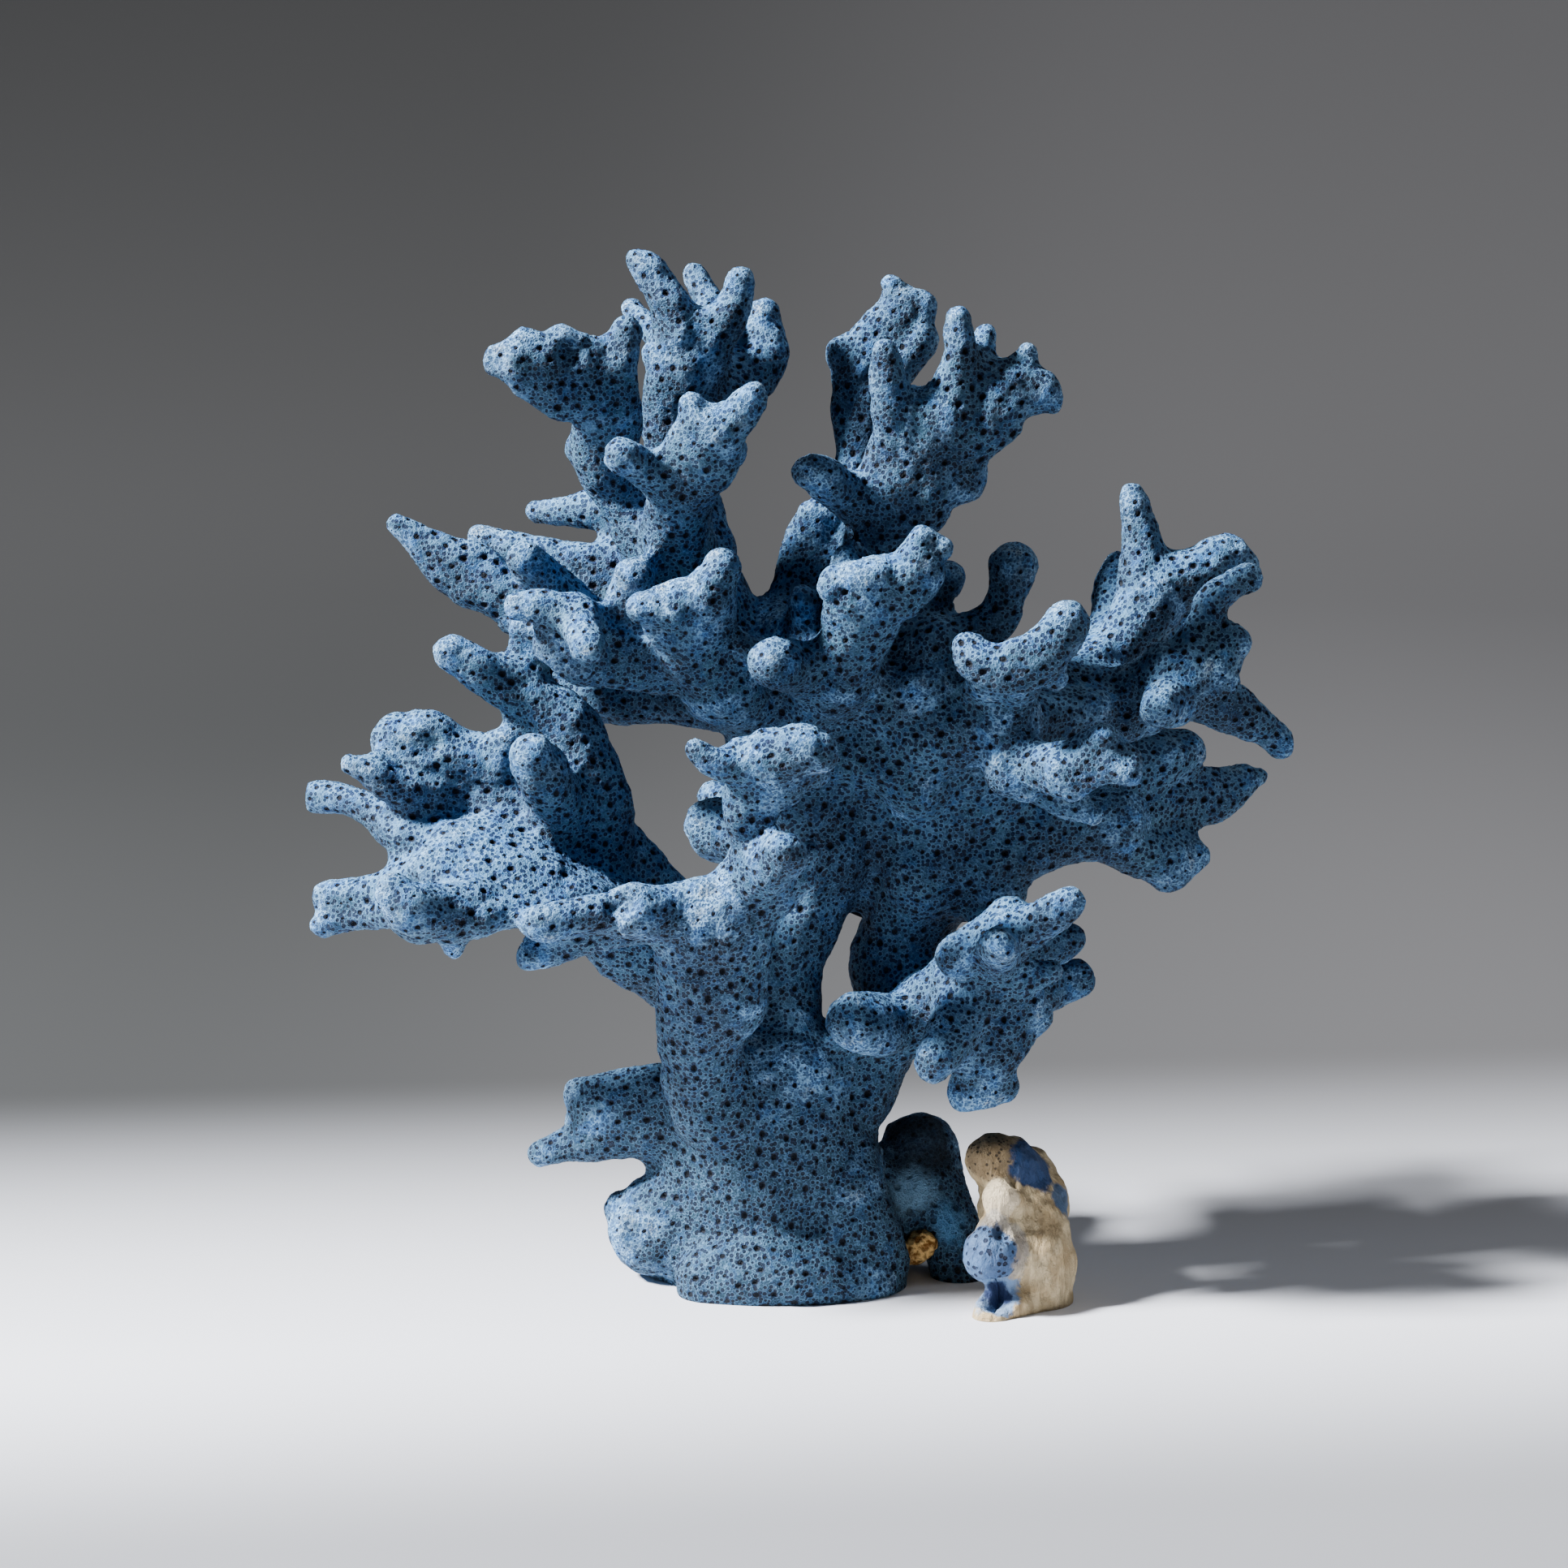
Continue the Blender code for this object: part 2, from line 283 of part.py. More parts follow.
        leg=limb((23, -66, -9, 6.2), (27, -72, -6, 5.2), (28.2, -80, -4, 4.6), (28.4, -90, -4, 4.4)),
    ),
    "crusted_lump": dict(
        head=limb((39, -67, 4, 6.6), (35.6, -62, 7, 5.6), (33.6, -60.6, 8, 4.6)),
        back=limb((39, -62.5, 3, 4.4), (42, -68, 4, 3.8)),
        body=limb((38, -68, 7, 6.8), (40.2, -76, 10, 6.6), (40, -84, 10, 6.4), (39, -94, 12, 6.4)),
        knob=limb((36, -68, 10, 4), (34.8, -66.6, 14, 3.3)),
        collar=limb((38, -71, 10, 4.4), (34, -71.6, 15, 3)),
        nose=limb((37, -75.5, 12, 5), (33.4, -75.6, 16.6, 4.7)),
        toe=limb((37, -84, 14, 5), (33.4, -85.5, 19, 3.2), (33.4, -94, 19, 3.2)),
    ),
    "rubble_crumb": dict(
        crumb=limb((21.2, -74.8, -2, 2.4), (22.6, -73.8, -2, 2.2)),
    ),
}

CORAL_BLUE = (0.125, 0.215, 0.365, 1.0)
CRUST_CREAM = (0.52, 0.43, 0.30, 1.0)
RUBBLE_BROWN = (0.38, 0.22, 0.07, 1.0)
COLOURS = {"crusted_lump": CRUST_CREAM, "rubble_crumb": RUBBLE_BROWN}
ROUGHNESS = 0.85


def place(u, v, d):
    """The point that lies on the sight line through (u, v) and d in front of the trunk, and its scale."""
    toward = Vector((0, -math.cos(VIEW_ELEVATION), math.sin(VIEW_ELEVATION)))
    upward = Vector((0, math.sin(VIEW_ELEVATION), math.cos(VIEW_ELEVATION)))
    target = Vector((0, 0, VIEW_HEIGHT))
    eye = target + VIEW_DISTANCE * toward
    through = target + Vector((u, 0, 0)) + v * upward
    share = (-d - eye.y) / (through.y - eye.y)
    return eye + share * (through - eye), share


def stations_of(stations):
    """The limb's stations as rows of x, y, z, half width and half thickness."""
    rows = []
    for u, v, d, width, *thickness in stations:
        point, scale = place(u, v, d)
        rows.append([*point, width * scale, (thickness or [width])[0] * scale])
    return np.array(rows)


def drawn_out(rows):
    """The rows along a smooth curve through the stations, about one each STEP_ALONG."""
    before = 2 * rows[0] - rows[1]
    after = 2 * rows[-1] - rows[-2]
    knots = np.vstack([before, rows, after])
    pieces = []
    for a, b, c, e in zip(knots, knots[1:], knots[2:], knots[3:]):
        count = max(2, math.ceil(np.linalg.norm((c - b)[:3]) / STEP_ALONG))
        t = (np.arange(count) / count)[:, None]
        curve = 2 * b + (c - a) * t + (2 * a - 5 * b + 4 * c - e) * t**2 + (3 * b - a - 3 * c + e) * t**3
        pieces.append(curve / 2)
    return np.vstack([*pieces, rows[-1:]])


def with_round_ends(rows):
    """The same rows with both ends carried on and closed as a half ellipsoid."""
    angles = np.linspace(0, math.pi / 2, CAP_ROWS + 1)[1:]
    start = (rows[0] - rows[1])[:3]
    end = (rows[-1] - rows[-2])[:3]
    caps = []
    for row, way in ((rows[0], start), (rows[-1], end)):
        reach = min(row[3], row[4]) * way / np.linalg.norm(way)
        cap = np.repeat(row[None], CAP_ROWS, axis=0)
        cap[:, :3] += np.sin(angles)[:, None] * reach
        cap[:, 3:] *= np.cos(angles)[:, None]
        caps.append(cap)
    return np.vstack([caps[0][::-1], rows, caps[1]])


def add_limb(mesh, stations, face):
    """A UV sphere drawn out along the limb: each of its rings becomes the limb's section at one row."""
    rows = stations_of(stations)
    rows[:, 3:] += FORK_FILLET
    rows = with_round_ends(drawn_out(rows))
    along = np.gradient(rows[:, :3], axis=0)
    along /= np.linalg.norm(along, axis=1)[:, None]
    facing = np.array([face[0], -face[2], face[1]]) + 1e-3
    across = np.cross(along, facing)
    across /= np.linalg.norm(across, axis=1)[:, None]
    through = np.cross(across, along)
    last = len(rows) - 1
    ball = bmesh.ops.create_uvsphere(mesh, u_segments=SIDES, v_segments=last, radius=1)
    for vertex in ball["verts"]:
        x, y, z = vertex.co
        row = round(math.acos(max(-1.0, min(1.0, z))) / math.pi * last)
        turn = math.atan2(y, x)
        wide = rows[row, 3] * math.cos(turn) * across[row]
        thick = rows[row, 4] * math.sin(turn) * through[row]
        vertex.co = Vector(rows[row, :3] + wide + thick) * MM


def baked(obj):
    """Replaces the object's mesh with what its modifiers make of it."""
    graph = bpy.context.evaluated_depsgraph_get()
    mesh = bpy.data.meshes.new_from_object(obj.evaluated_get(graph), depsgraph=graph)
    obj.modifiers.clear()
    old = obj.data
    obj.data = mesh
    mesh.name = obj.name
    bpy.data.meshes.remove(old)


def keep_largest(obj):
    """Deletes all but the largest of the object's separate bodies."""
    mesh = bmesh.new()
    mesh.from_mesh(obj.data)
    unseen = set(mesh.faces)
    bodies = []
    while unseen:
        body = {unseen.pop()}
        edge_of_body = set(body)
        while edge_of_body:
            near = {other for face in edge_of_body for edge in face.edges for other in edge.link_faces}
            edge_of_body = near & unseen
            unseen -= edge_of_body
            body |= edge_of_body
        bodies.append(body)
    largest = max(bodies, key=lambda body: sum(face.calc_area() for face in body))
    spare = [face for face in mesh.faces if face not in largest]
    bmesh.ops.delete(mesh, geom=spare, context="FACES")
    mesh.to_mesh(obj.data)
    mesh.free()


def add_remesh(obj):
    remesh = obj.modifiers.new("Fuse", "REMESH")
    remesh.mode = "VOXEL"
    remesh.voxel_size = FUSE_GRID * MM


def add_cut(obj, cutter):
    cut = obj.modifiers.new("Cut by " + cutter.name, "BOOLEAN")
    cut.operation = "DIFFERENCE"
    cut.object = cutter


def fused(name, limbs, collection):
    """One solid of all the limbs, with a fillet in each fork: grown, fused, then shrunk back."""
    mesh = bmesh.new()
    for stations, face in limbs.values():
        add_limb(mesh, stations, face)
    data = bpy.data.meshes.new(name)
    mesh.to_mesh(data)
    mesh.free()
    obj = bpy.data.objects.new(name, data)
    collection.objects.link(obj)
    add_remesh(obj)
    shrink = obj.modifiers.new("Shrink back", "DISPLACE")
    shrink.mid_level = 0
    shrink.strength = -FORK_FILLET * MM
    add_remesh(obj)
    smooth = obj.modifiers.new("Smooth", "SMOOTH")
    smooth.iterations = SMOOTH_PASSES
    baked(obj)
    keep_largest(obj)
    return obj


def thinned(obj):
    """Lowers the number of triangles to about one for each FACET_AREA."""
    obj.data.calc_loop_triangles()
    area = sum(face.area for face in obj.data.polygons) / MM**2
    decimate = obj.modifiers.new("Facets", "DECIMATE")
    decimate.ratio = min(1.0, area / FACET_AREA / len(obj.data.loop_triangles))
    baked(obj)


def grown_copy(obj, collection):
    """A cutter that is larger than the object by the gap that touching pieces keep."""
    cutter = bpy.data.objects.new(obj.name + "_room", obj.data.copy())
    collection.objects.link(cutter)
    grow = cutter.modifiers.new("Gap", "DISPLACE")
    grow.mid_level = 0
    grow.strength = PARTING_GAP * MM
    baked(cutter)
    cutter.hide_render = True
    cutter.display_type = "WIRE"
    return cutter


def ground_block(collection):
    """The block below the flat cut that the colony stands on."""
    bpy.ops.mesh.primitive_cube_add(size=1)
    block = bpy.context.object
    block.name = "ground_block"
    block.scale = (GROUND_SIDE * MM, GROUND_SIDE * MM, GROUND_DEPTH * MM)
    block.location = (0, 0, -GROUND_DEPTH / 2 * MM)
    bpy.ops.object.transform_apply(location=True, scale=True)
    for owner in list(block.users_collection):
        owner.objects.unlink(block)
    collection.objects.link(block)
    block.hide_render = True
    block.display_type = "WIRE"
    return block


def boxes_meet(first, second):
    """Whether the two objects' bounding boxes overlap."""
    a = np.array([corner[:] for corner in first.bound_box])
    b = np.array([corner[:] for corner in second.bound_box])
    return bool((a.min(0) < b.max(0)).all() and (b.min(0) < a.max(0)).all())


def finish(obj):
    """The object's material and shading."""
    colour = COLOURS.get(obj.name, CORAL_BLUE)
    material = bpy.data.materials.new(obj.name)
    material.use_nodes = True
    shader = material.node_tree.nodes["Principled BSDF"]
    shader.inputs["Base Color"].default_value = colour
    shader.inputs["Roughness"].default_value = ROUGHNESS
    material.diffuse_color = colour
    obj.data.materials.clear()
    obj.data.materials.append(material)
    obj.data.shade_smooth()
    obj.data.set_sharp_from_angle(angle=SHARP_ANGLE)


def main():
    for obj in list(bpy.data.objects):
        bpy.data.objects.remove(obj)
    coral = bpy.data.collections.new("Blue ridge coral")
    cutters = bpy.data.collections.new("Cutters")
    for collection in (coral, cutters):
        bpy.context.scene.collection.children.link(collection)
    cutters.hide_render = True
    ground = ground_block(cutters)
    rooms = []
    for name, limbs in BRANCHES.items():
        branch = fused(name, limbs, coral)
        thinned(branch)
        add_cut(branch, ground)
        for room in rooms:
            if boxes_meet(branch, room):
                add_cut(branch, room)
        baked(branch)
        keep_largest(branch)
        finish(branch)
        rooms.append(grown_copy(branch, cutters))


main()
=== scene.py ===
import math

import bmesh
import bpy
import numpy as np
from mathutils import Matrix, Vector


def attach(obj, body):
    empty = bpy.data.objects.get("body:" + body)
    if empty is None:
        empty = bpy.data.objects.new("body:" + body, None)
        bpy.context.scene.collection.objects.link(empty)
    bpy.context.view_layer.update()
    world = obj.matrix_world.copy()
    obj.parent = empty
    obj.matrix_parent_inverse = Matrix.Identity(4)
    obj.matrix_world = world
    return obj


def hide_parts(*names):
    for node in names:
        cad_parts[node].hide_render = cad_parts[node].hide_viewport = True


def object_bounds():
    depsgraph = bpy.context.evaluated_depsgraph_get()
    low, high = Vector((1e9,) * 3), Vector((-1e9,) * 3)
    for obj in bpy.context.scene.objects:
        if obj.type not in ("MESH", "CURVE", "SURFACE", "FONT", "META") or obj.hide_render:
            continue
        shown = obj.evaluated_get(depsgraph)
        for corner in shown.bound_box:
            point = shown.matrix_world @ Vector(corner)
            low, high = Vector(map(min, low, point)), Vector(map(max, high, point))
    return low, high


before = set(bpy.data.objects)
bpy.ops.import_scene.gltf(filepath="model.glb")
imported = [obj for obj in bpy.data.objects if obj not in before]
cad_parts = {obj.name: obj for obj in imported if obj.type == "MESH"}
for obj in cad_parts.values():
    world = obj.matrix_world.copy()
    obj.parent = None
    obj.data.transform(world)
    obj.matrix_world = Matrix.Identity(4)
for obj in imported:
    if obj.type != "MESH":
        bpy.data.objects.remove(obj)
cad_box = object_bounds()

# Sizes are in millimetres, except where a comment names another unit.
MM = 0.001

# The eye looks a little down on the colony, from the front.
VIEW_DISTANCE = 700.0
VIEW_ELEVATION = math.radians(10.0)
VIEW_HEIGHT = 83.0
LENS = 100
SENSOR = 36
NEAREST_SEEN = 10

# How the limbs are drawn out and grow together.
STEP_ALONG = 1.2
SIDES = 24
CAP_ROWS = 5
FORK_FILLET = 1.3
FUSE_GRID = 0.62
SKIN_GRID = 0.47
SMOOTH_PASSES = 3
ROUNDNESS_PASSES = 40

# How the pieces are closed inside: how deep their strips start, and the least height that they reach down to.
RIM_INSET = 0.5
STRIP_LOWEST = 0.2

# The skin's lumps, each (height, size), and those of the tips, which are a little swollen and rough.
# A tip fades out over its reach from the limb's end, and goes further where the limb isn't slim.
CORAL_LUMPS = ((0.6, 6.5), (0.36, 3.1), (0.14, 1.3))
TIP_LUMPS = ((0.12, 0.9),)
TIP_SWELL = 0.3
TIP_REACH = 9
SLIM_RADIUS = 2

# Lumps fade out over this height above the flat cut, and ease off within this margin of the box's walls.
CUT_HEIGHT = 3
WALL_MARGIN = 0.9

# The large pores, found on a grid whose cells are a share of their spacing wide. Wide ones are rarer, by the
# power of a random draw, and all lose a share of their width at the tips.
PORE_SPACING = 1.95
PORE_CELL = 0.62
CELLS_AWAY = 2
PORE_ROUNDS = 6
PORE_RADII = (0.26, 0.54)
WIDE_POWER = 1.3
TIP_NARROWING = 0.4
PORE_STRETCH = 0.82

# Their depth, the shares of the radius between which the wall and the rim lie, and the rim's share of depth.
PORE_DEPTH = 0.7
PORE_WALL = (0.2, 1.2)
PORE_RIM = (1.0, 1.3, 2.1)
RIM_HEIGHT = 0.1

# Cells of the small mouths, the honeycomb and the lump's porous end, which the materials draw.
PIT_CELL = 0.85
HONEYCOMB = 0.42
CAP_HOLES = 1.25

# The share of a cup's reach that is flat, and the coral's cups: (u, v, d) on the skin, reach and depth.
CUP_FLOOR = 0.35
CORAL_CUPS = (
    (-26.2, -19.2, 27, 3.6, 1.7),
    (-47, 68.3, 13, 3.4, 1.1),
    (-34, 69.5, 12, 3.6, 1.0),
    (-57.5, 6, 7, 3.2, 0.9),
    (33.5, 22.5, 27, 3, 0.8),
)

# Areas on the small lobe behind the lump, each round (u, v, d) with its reach, and how soft their edges are.
CORAL_AREAS = {
    # The first area is painted shade over the lobe's top.
    "painted_shade_lobe": (21.5, -57, -7, 6.6),
    "bare_band": (20.5, -65.5, -3, 3.8),
    "bare_end": (26.5, -70.5, 0, 3.4),
}
CORAL_AREA_EDGE = 1.7

# The loose lump's areas in the same way, its lumps, and its dents, each with its reach and depth.
CRUST_AREAS = {
    "brown_head": (33, -59, 12, 5),
    "blue_side": (40, -61, 9, 4.6),
    "blue_strip": (44.5, -67, 8, 3),
    "cream": (34.6, -66.5, 16, 3.4),
    "tinge": (33, -75.5, 19, 6.6),
    "cap": (32.2, -75.8, 20, 5.2),
    "lip": (34, -82.2, 18, 3.8),
    # The deep area is painted shade inside the deepest dent.
    "deep": (34.2, -82.3, 18, 2.3),
}
CRUST_AREA_EDGE = 0.5
CRUST_LUMPS = ((0.35, 4), (0.2, 1.6), (0.1, 0.8))
CRUST_DENTS = ((34.3, -82.5, 20, 3.6, 3.2), (35.5, -71.6, 19, 2.6, 1.2), (37.5, -63.5, 14, 2, 0.8))
CRUMB_LUMPS = ((0.3, 3), (0.5, 1.3), (0.25, 0.7))

# On loose pieces the fusing grid is this much coarser than the skin's, and lumps fade out lower down.
FUSE_COARSER = 1.3
LOOSE_CUT_HEIGHT = 2

# Seeds of the random draws.
LUMP_SEED = 1
TIP_SEED = 4
LOOSE_SEED = 5
PORE_SEED = 11
RADIUS_SEED = 12

# The paper sweep, in metres.
SWEEP_FLAT = 0.9
SWEEP_EDGE = 2.2
SWEEP_RISE = 1.6
SWEEP_ROWS = 24
SWEEP_SIDES = 96

TOWARD = (0.0, 0.0, 1.0)


def limb(*stations, face=TOWARD):
    """One limb's stations, (u, v, d, radius) or (u, v, d, half width, half thickness), and its facing."""
    return stations, face


BRANCHES = {
    "base": dict(
        foot=limb((-2, -94, -4, 18, 11), (-2, -72, -4, 18, 12), (-2, -58, -3, 17.5, 12.5),
                  (-1, -46, -3, 13.5, 10)),
        front_lobe=limb((-11, -79.6, 6, 6.6), (-4, -79, 7.2, 7), (5, -79, 6.4, 7), (12, -80, 3, 7)),
        left_lump=limb((-12, -66, -5, 9), (-20.5, -71.3, -4, 7.8)),
        left_knob=limb((-20, -69, -5, 6), (-26.2, -68.3, -5, 2.9)),
        right_foot=limb((12.5, -92, 1, 7), (11.5, -76, 1, 8), (8, -64, 0, 8)),
        back_lobe=limb((-4, -92, -14, 8), (-6, -74, -14, 8), (-4, -62, -12, 7)),
        trunk=limb((0, -52, -4, 10, 9), (0.1, -40, -5, 6.6, 7.5), (0, -29, -6, 6, 7.5),
                   (3.5, -19, -6, 7, 8), (5.5, -8, -5, 8.5, 8), (2, 4, -4, 10.5, 8), (0, 14, -4, 10, 8),
                   (0, 22, -5, 9, 8)),
        crown_left=limb((0, 12, -3, 7), (-10, 16, 2, 6.5)),
        crown_right=limb((1, 18, -4, 8), (11, 24, -3, 7)),
        right_stem=limb((5, -56, -3, 9), (12, -47, -6, 6.6), (17.6, -37, -9, 6.2), (18.3, -28, -12, 7.6),
                        (23.4, -18, -10, 6.6)),
        low_finger=limb((17, -38.5, 0, 5), (13.5, -38.5, 5, 5), (11.8, -38.5, 7, 4.7)),
    ),
    "base_spur": dict(
        body=limb((-13, -54, -2, 8.5, 7), (-22, -52.8, -4, 7.6, 6), (-29.5, -53.2, -5, 6.2, 5)),
        tip=limb((-27, -55.5, -4, 4.8), (-33.5, -57.7, -4, 3.4), (-39.2, -59.6, -3, 1.7)),
        knob=limb((-28, -51, -5, 4), (-32.4, -49.9, -7, 2.9)),
    ),
    "front_fan": dict(
        stem=limb((-10, -52, 4, 8.5, 8), (-13.3, -43, 8, 7, 6.5), (-12, -35, 12, 8.6, 6.5),
                  (-11.3, -28, 16, 9.2, 5.5), (-11.5, -21, 19, 10, 4.6), (-12, -18.5, 19, 9, 3.6)),
        pouch=limb((-10, -29, 15, 6, 5), (-7.6, -35.4, 13.5, 5)),
        ear=limb((-18, -21, 19, 4.5), (-24.3, -20, 23, 4.3)),
        upper_finger=limb((-22, -20.5, 22, 3.6), (-31.5, -21, 24, 3.1), (-39.6, -22.3, 26, 2.7)),
        lower_finger=limb((-22, -23, 19, 2.6), (-32, -25, 20, 2.4), (-40.7, -28, 21, 2)),
        shoulder=limb((-9, -19, 19, 4.2), (-5, -15.5, 21, 4.2), (-1.6, -12.7, 27, 4.2),
                      (0, -11.2, 30, 3.3)),
        shoulder_back=limb((-4, -14, 19, 3.6), (1, -13, 20, 2.6), (3.9, -11, 21, 1.6)),
        shoulder_right=limb((-5, -20, 18, 4.6), (0, -16.5, 19, 3.6), (3, -15.2, 20, 2.4)),
        neck=limb((-7.3, -15, 19, 3.6, 3.6), (-6, -9.5, 21, 2.3, 3), (-5.6, -4.5, 24, 4, 3.2),
                  (-3.6, 0.5, 27, 7, 3.6), (-2.6, 3.4, 28, 8, 3.4)),
        left_horn=limb((-5, 2.5, 28, 3.4), (-10.5, 3.2, 30, 2.9), (-14.1, 5.7, 31, 1.6)),
        right_horn=limb((-2, 4.5, 29, 4.4), (3, 5.6, 31, 4.1), (5.3, 5.2, 31, 3.4)),
        right_lip=limb((0, 2, 26, 3.4), (5, 1.8, 26, 2.2)),
    ),
    "left_branch": dict(
        stem=limb((-6, -34, -7, 8, 6.5), (-16, -28, -6, 9.5, 6), (-25, -20, -3, 10.5, 5.5),
                  (-31, -10, 0, 8, 5.5)),
        blade=limb((-29, -12, 1, 5.5), (-30.5, -1, 3, 5.2), (-34.5, 8.5, 3, 5), (-40, 13.8, 3, 4.6),
                   (-47, 17.4, 5, 4), (-53.2, 21, 6, 3.1)),
        blade_web=limb((-33, 3, 2, 5), (-39.5, 9.5, 1, 4), (-42.5, 13.5, 2, 3)),
        lower_plate=limb((-29, -17, 3, 8, 4.2), (-37, -15, 12, 9.4, 3.4), (-44.5, -14, 15.5, 9, 2.8),
                         (-51.5, -13.4, 16, 8, 2.6), (-56.4, -13.4, 15, 5.6, 2.6), face=(-0.3, 0.72, 0.62)),
        plate_rim=limb((-37, -9, 4, 3.4), (-46, -8, 9, 2.6), (-54, -8.6, 10, 2.7)),
        lower_rim=limb((-36, -20.5, 14, 3.6), (-43, -20, 21, 2.8), (-49, -21.6, 24, 3)),
        lower_lobe=limb((-47, -19.5, 20, 4.2), (-55.5, -21, 25, 5.2, 4.6), (-61, -19.4, 28, 4.8, 4),
                        (-62.6, -17.8, 28, 3.4)),
        lower_nub=limb((-54, -23, 22, 3.4), (-53.2, -26.2, 22, 1.9)),
        low_finger_a=limb((-56, -15, 14, 4.2), (-66, -17.2, 8, 3), (-73.3, -18.4, 5, 2.3)),
        low_finger_b=limb((-60, -19, 14, 3.6), (-68, -21.7, 8, 2.3), (-74.2, -22.7, 6, 2)),
        far_finger=limb((-54, -10.4, 8, 4.4), (-61, -7.6, 4, 4.4), (-66.5, -4.4, 0, 3.1),
                        (-70, -2.6, -2, 2.9), (-75.6, -2.1, -5, 1.9)),
        upper_plate=limb((-32, -5, 2, 6, 5), (-42, -1.9, 3, 5.8, 4.2), (-50.5, -1.6, 2, 5.2, 4),
                         (-56.5, -1.8, 2, 4.4, 3.4), face=(0, 0.3, 0.95)),
        club=limb((-44, 1.5, 2, 4.4), (-51.5, 4, 2, 4.7), (-58, 6.5, 2, 5.3), (-61.6, 7, 2, 4.4)),
        club_knob=limb((-46, 2, 3, 4), (-45, 6, 4, 2.8)),
        long_finger=limb((-53, -1, 3, 3.4), (-61, -0.4, 7, 3.2), (-67, 2.2, 9, 2.6), (-70, 3.3, 9, 1.6)),
        long_nub=limb((-64, 1.2, 8, 2.6), (-66, 3.8, 8, 1.2)),
        near_finger=limb((-34, -5, 5, 4.8), (-37, -1.6, 11, 4.4), (-39, 2.4, 15, 4), (-40.4, 4.8, 17, 3)),
        back_finger=limb((-31, -6, -3, 5), (-38, -4, -16, 4), (-45, 0, -27, 2.8)),
        back_fork=limb((-35, -5, -10, 4), (-41, -11, -24, 2.8)),
    ),
    "right_plate": dict(
        stem=limb((20, -22, -11, 7.5, 7), (23, -13, -7, 9, 6.5), (27, -3, -2, 12.5, 6), (29, 6, 1, 13, 5.5),
                  (29, 9, 1, 11, 5)),
        left_edge=limb((7, 6, 0, 6), (17, 4, 2, 6.2), (22, 0, 2, 6)),
        inner_web=limb((14, -9, -6, 4.6), (15.5, -3, -5, 5.4), (14, 4, -3, 6)),
        lower_web=limb((22, -14, -4, 8, 6), (34, -10.5, -3, 7.5, 5.5), (45, -6.5, -4, 6.6, 5),
                       (53, -5.5, -6, 6.4, 5)),
        under_lip=limb((24, -15, -6, 5), (31, -17.6, -4, 4.6), (35, -16, -3, 4)),
        low_knob=limb((52, -8, -7, 4.6), (59, -11, -9, 4.1), (62.5, -13, -10, 4)),
        low_knob_tip=limb((61, -11.5, -10, 3.6), (66, -11.4, -11, 2.6)),
        right_finger=limb((52, -3, -8, 5), (62, -3, -14, 5.2, 4.4), (68.5, -1.7, -17, 4.6, 3.6),
                          (73.5, 0.4, -19, 3, 2.8), (76.2, 1.2, -20, 1.7, 1.7)),
        back_stub=limb((52, 0, -7, 5), (59, 3.8, -11, 4.6), (63.5, 4.8, -13, 3.8)),
        stub_knob=limb((61, 4.5, -10, 2.4), (62.3, 5, -7.5, 1.3)),
        back_finger=limb((30, -4, -4, 7), (36, -3, -20, 5.2), (41, 1, -34, 3.2)),
        back_fork_a=limb((34, -4, -16, 4.6), (31, 2, -32, 3.4)),
        back_fork_b=limb((37, -3, -22, 4), (42, -7, -33, 2.8)),
    ),
    "right_low_branch": dict(
        stem=limb((15, -41, -6, 6), (24, -36, -1, 6.2, 5.2), (32, -31, 4, 7.4, 5)),
        plate=limb((33, -27, 4, 6.5, 5), (32.5, -33, 6, 9, 4.6), (32.5, -40, 7, 8, 4.2),
                   (32, -45.5, 8, 5.4, 3.8), (31.5, -49, 8, 4.6, 3.2)),
        corner_left=limb((30.5, -47, 8, 3.4), (29, -50.1, 8, 2.6)),
        corner_right=limb((33, -46.5, 8, 3.4), (35.2, -48.5, 7, 2.8)),
        side_knob=limb((35, -37.5, 6, 4.4), (39.8, -37, 5, 3.2)),
        near_finger=limb((29, -36, 8, 5), (26.4, -41.6, 13, 4.3), (24.6, -44.4, 16, 3.3)),
        ledge=limb((34, -25.5, 9, 4.6), (28.3, -27.3, 13, 3.6)),
        top_ledge=limb((33, -26, 9, 4.6), (36.3, -21.6, 12, 3.8)),
        near_tip=limb((33, -27.5, 9, 5.2), (34.4, -26.6, 17, 4), (34.9, -26, 23, 3), (35, -25.8, 25, 2.3)),
        up_finger=limb((33, -26.5, 11, 4.4), (39.5, -22.9, 16, 3.8), (43.6, -20.4, 19, 3.4),
                       (46, -18.9, 20, 2.7)),
        up_web=limb((31, -25.5, 12, 3.6), (36, -23.4, 15, 3.2)),
        side_finger=limb((33, -31.5, 8, 3.4), (39, -30.8, 10, 2.8), (42.9, -30, 11, 1.8)),
        back_finger=limb((34, -34, 2, 4.6), (42, -33, -6, 3.6), (46.6, -31.4, -9, 2.6)),
        back_lobe=limb((35, -28, 2, 4.6), (42, -26, -1, 3.2), (45.3, -25.2, -2, 2.8)),
        rear_finger=limb((22, -37, -4, 5), (20, -33, -18, 4.2), (17, -28, -27, 3)),
    ),
    "right_front_cluster": dict(
        root=limb((22, 8, 4, 7), (31, 10, 9, 6), (36, 10, 11, 5)),
        left_lobe=limb((17, 12, 5, 5), (22.5, 16, 8, 5)),
        tall_arm=limb((22, 16, 8, 4.6), (23.8, 22, 7, 3.8), (29, 24.3, 5, 3), (34, 26, 4, 3.1),
                      (36.2, 31, 4, 3.2), (37, 35, 4, 3.8)),
        bowl_left=limb((31, 10.5, 6, 4.6), (31.4, 14, 10, 3.6), (32.5, 17.6, 18, 2.9)),
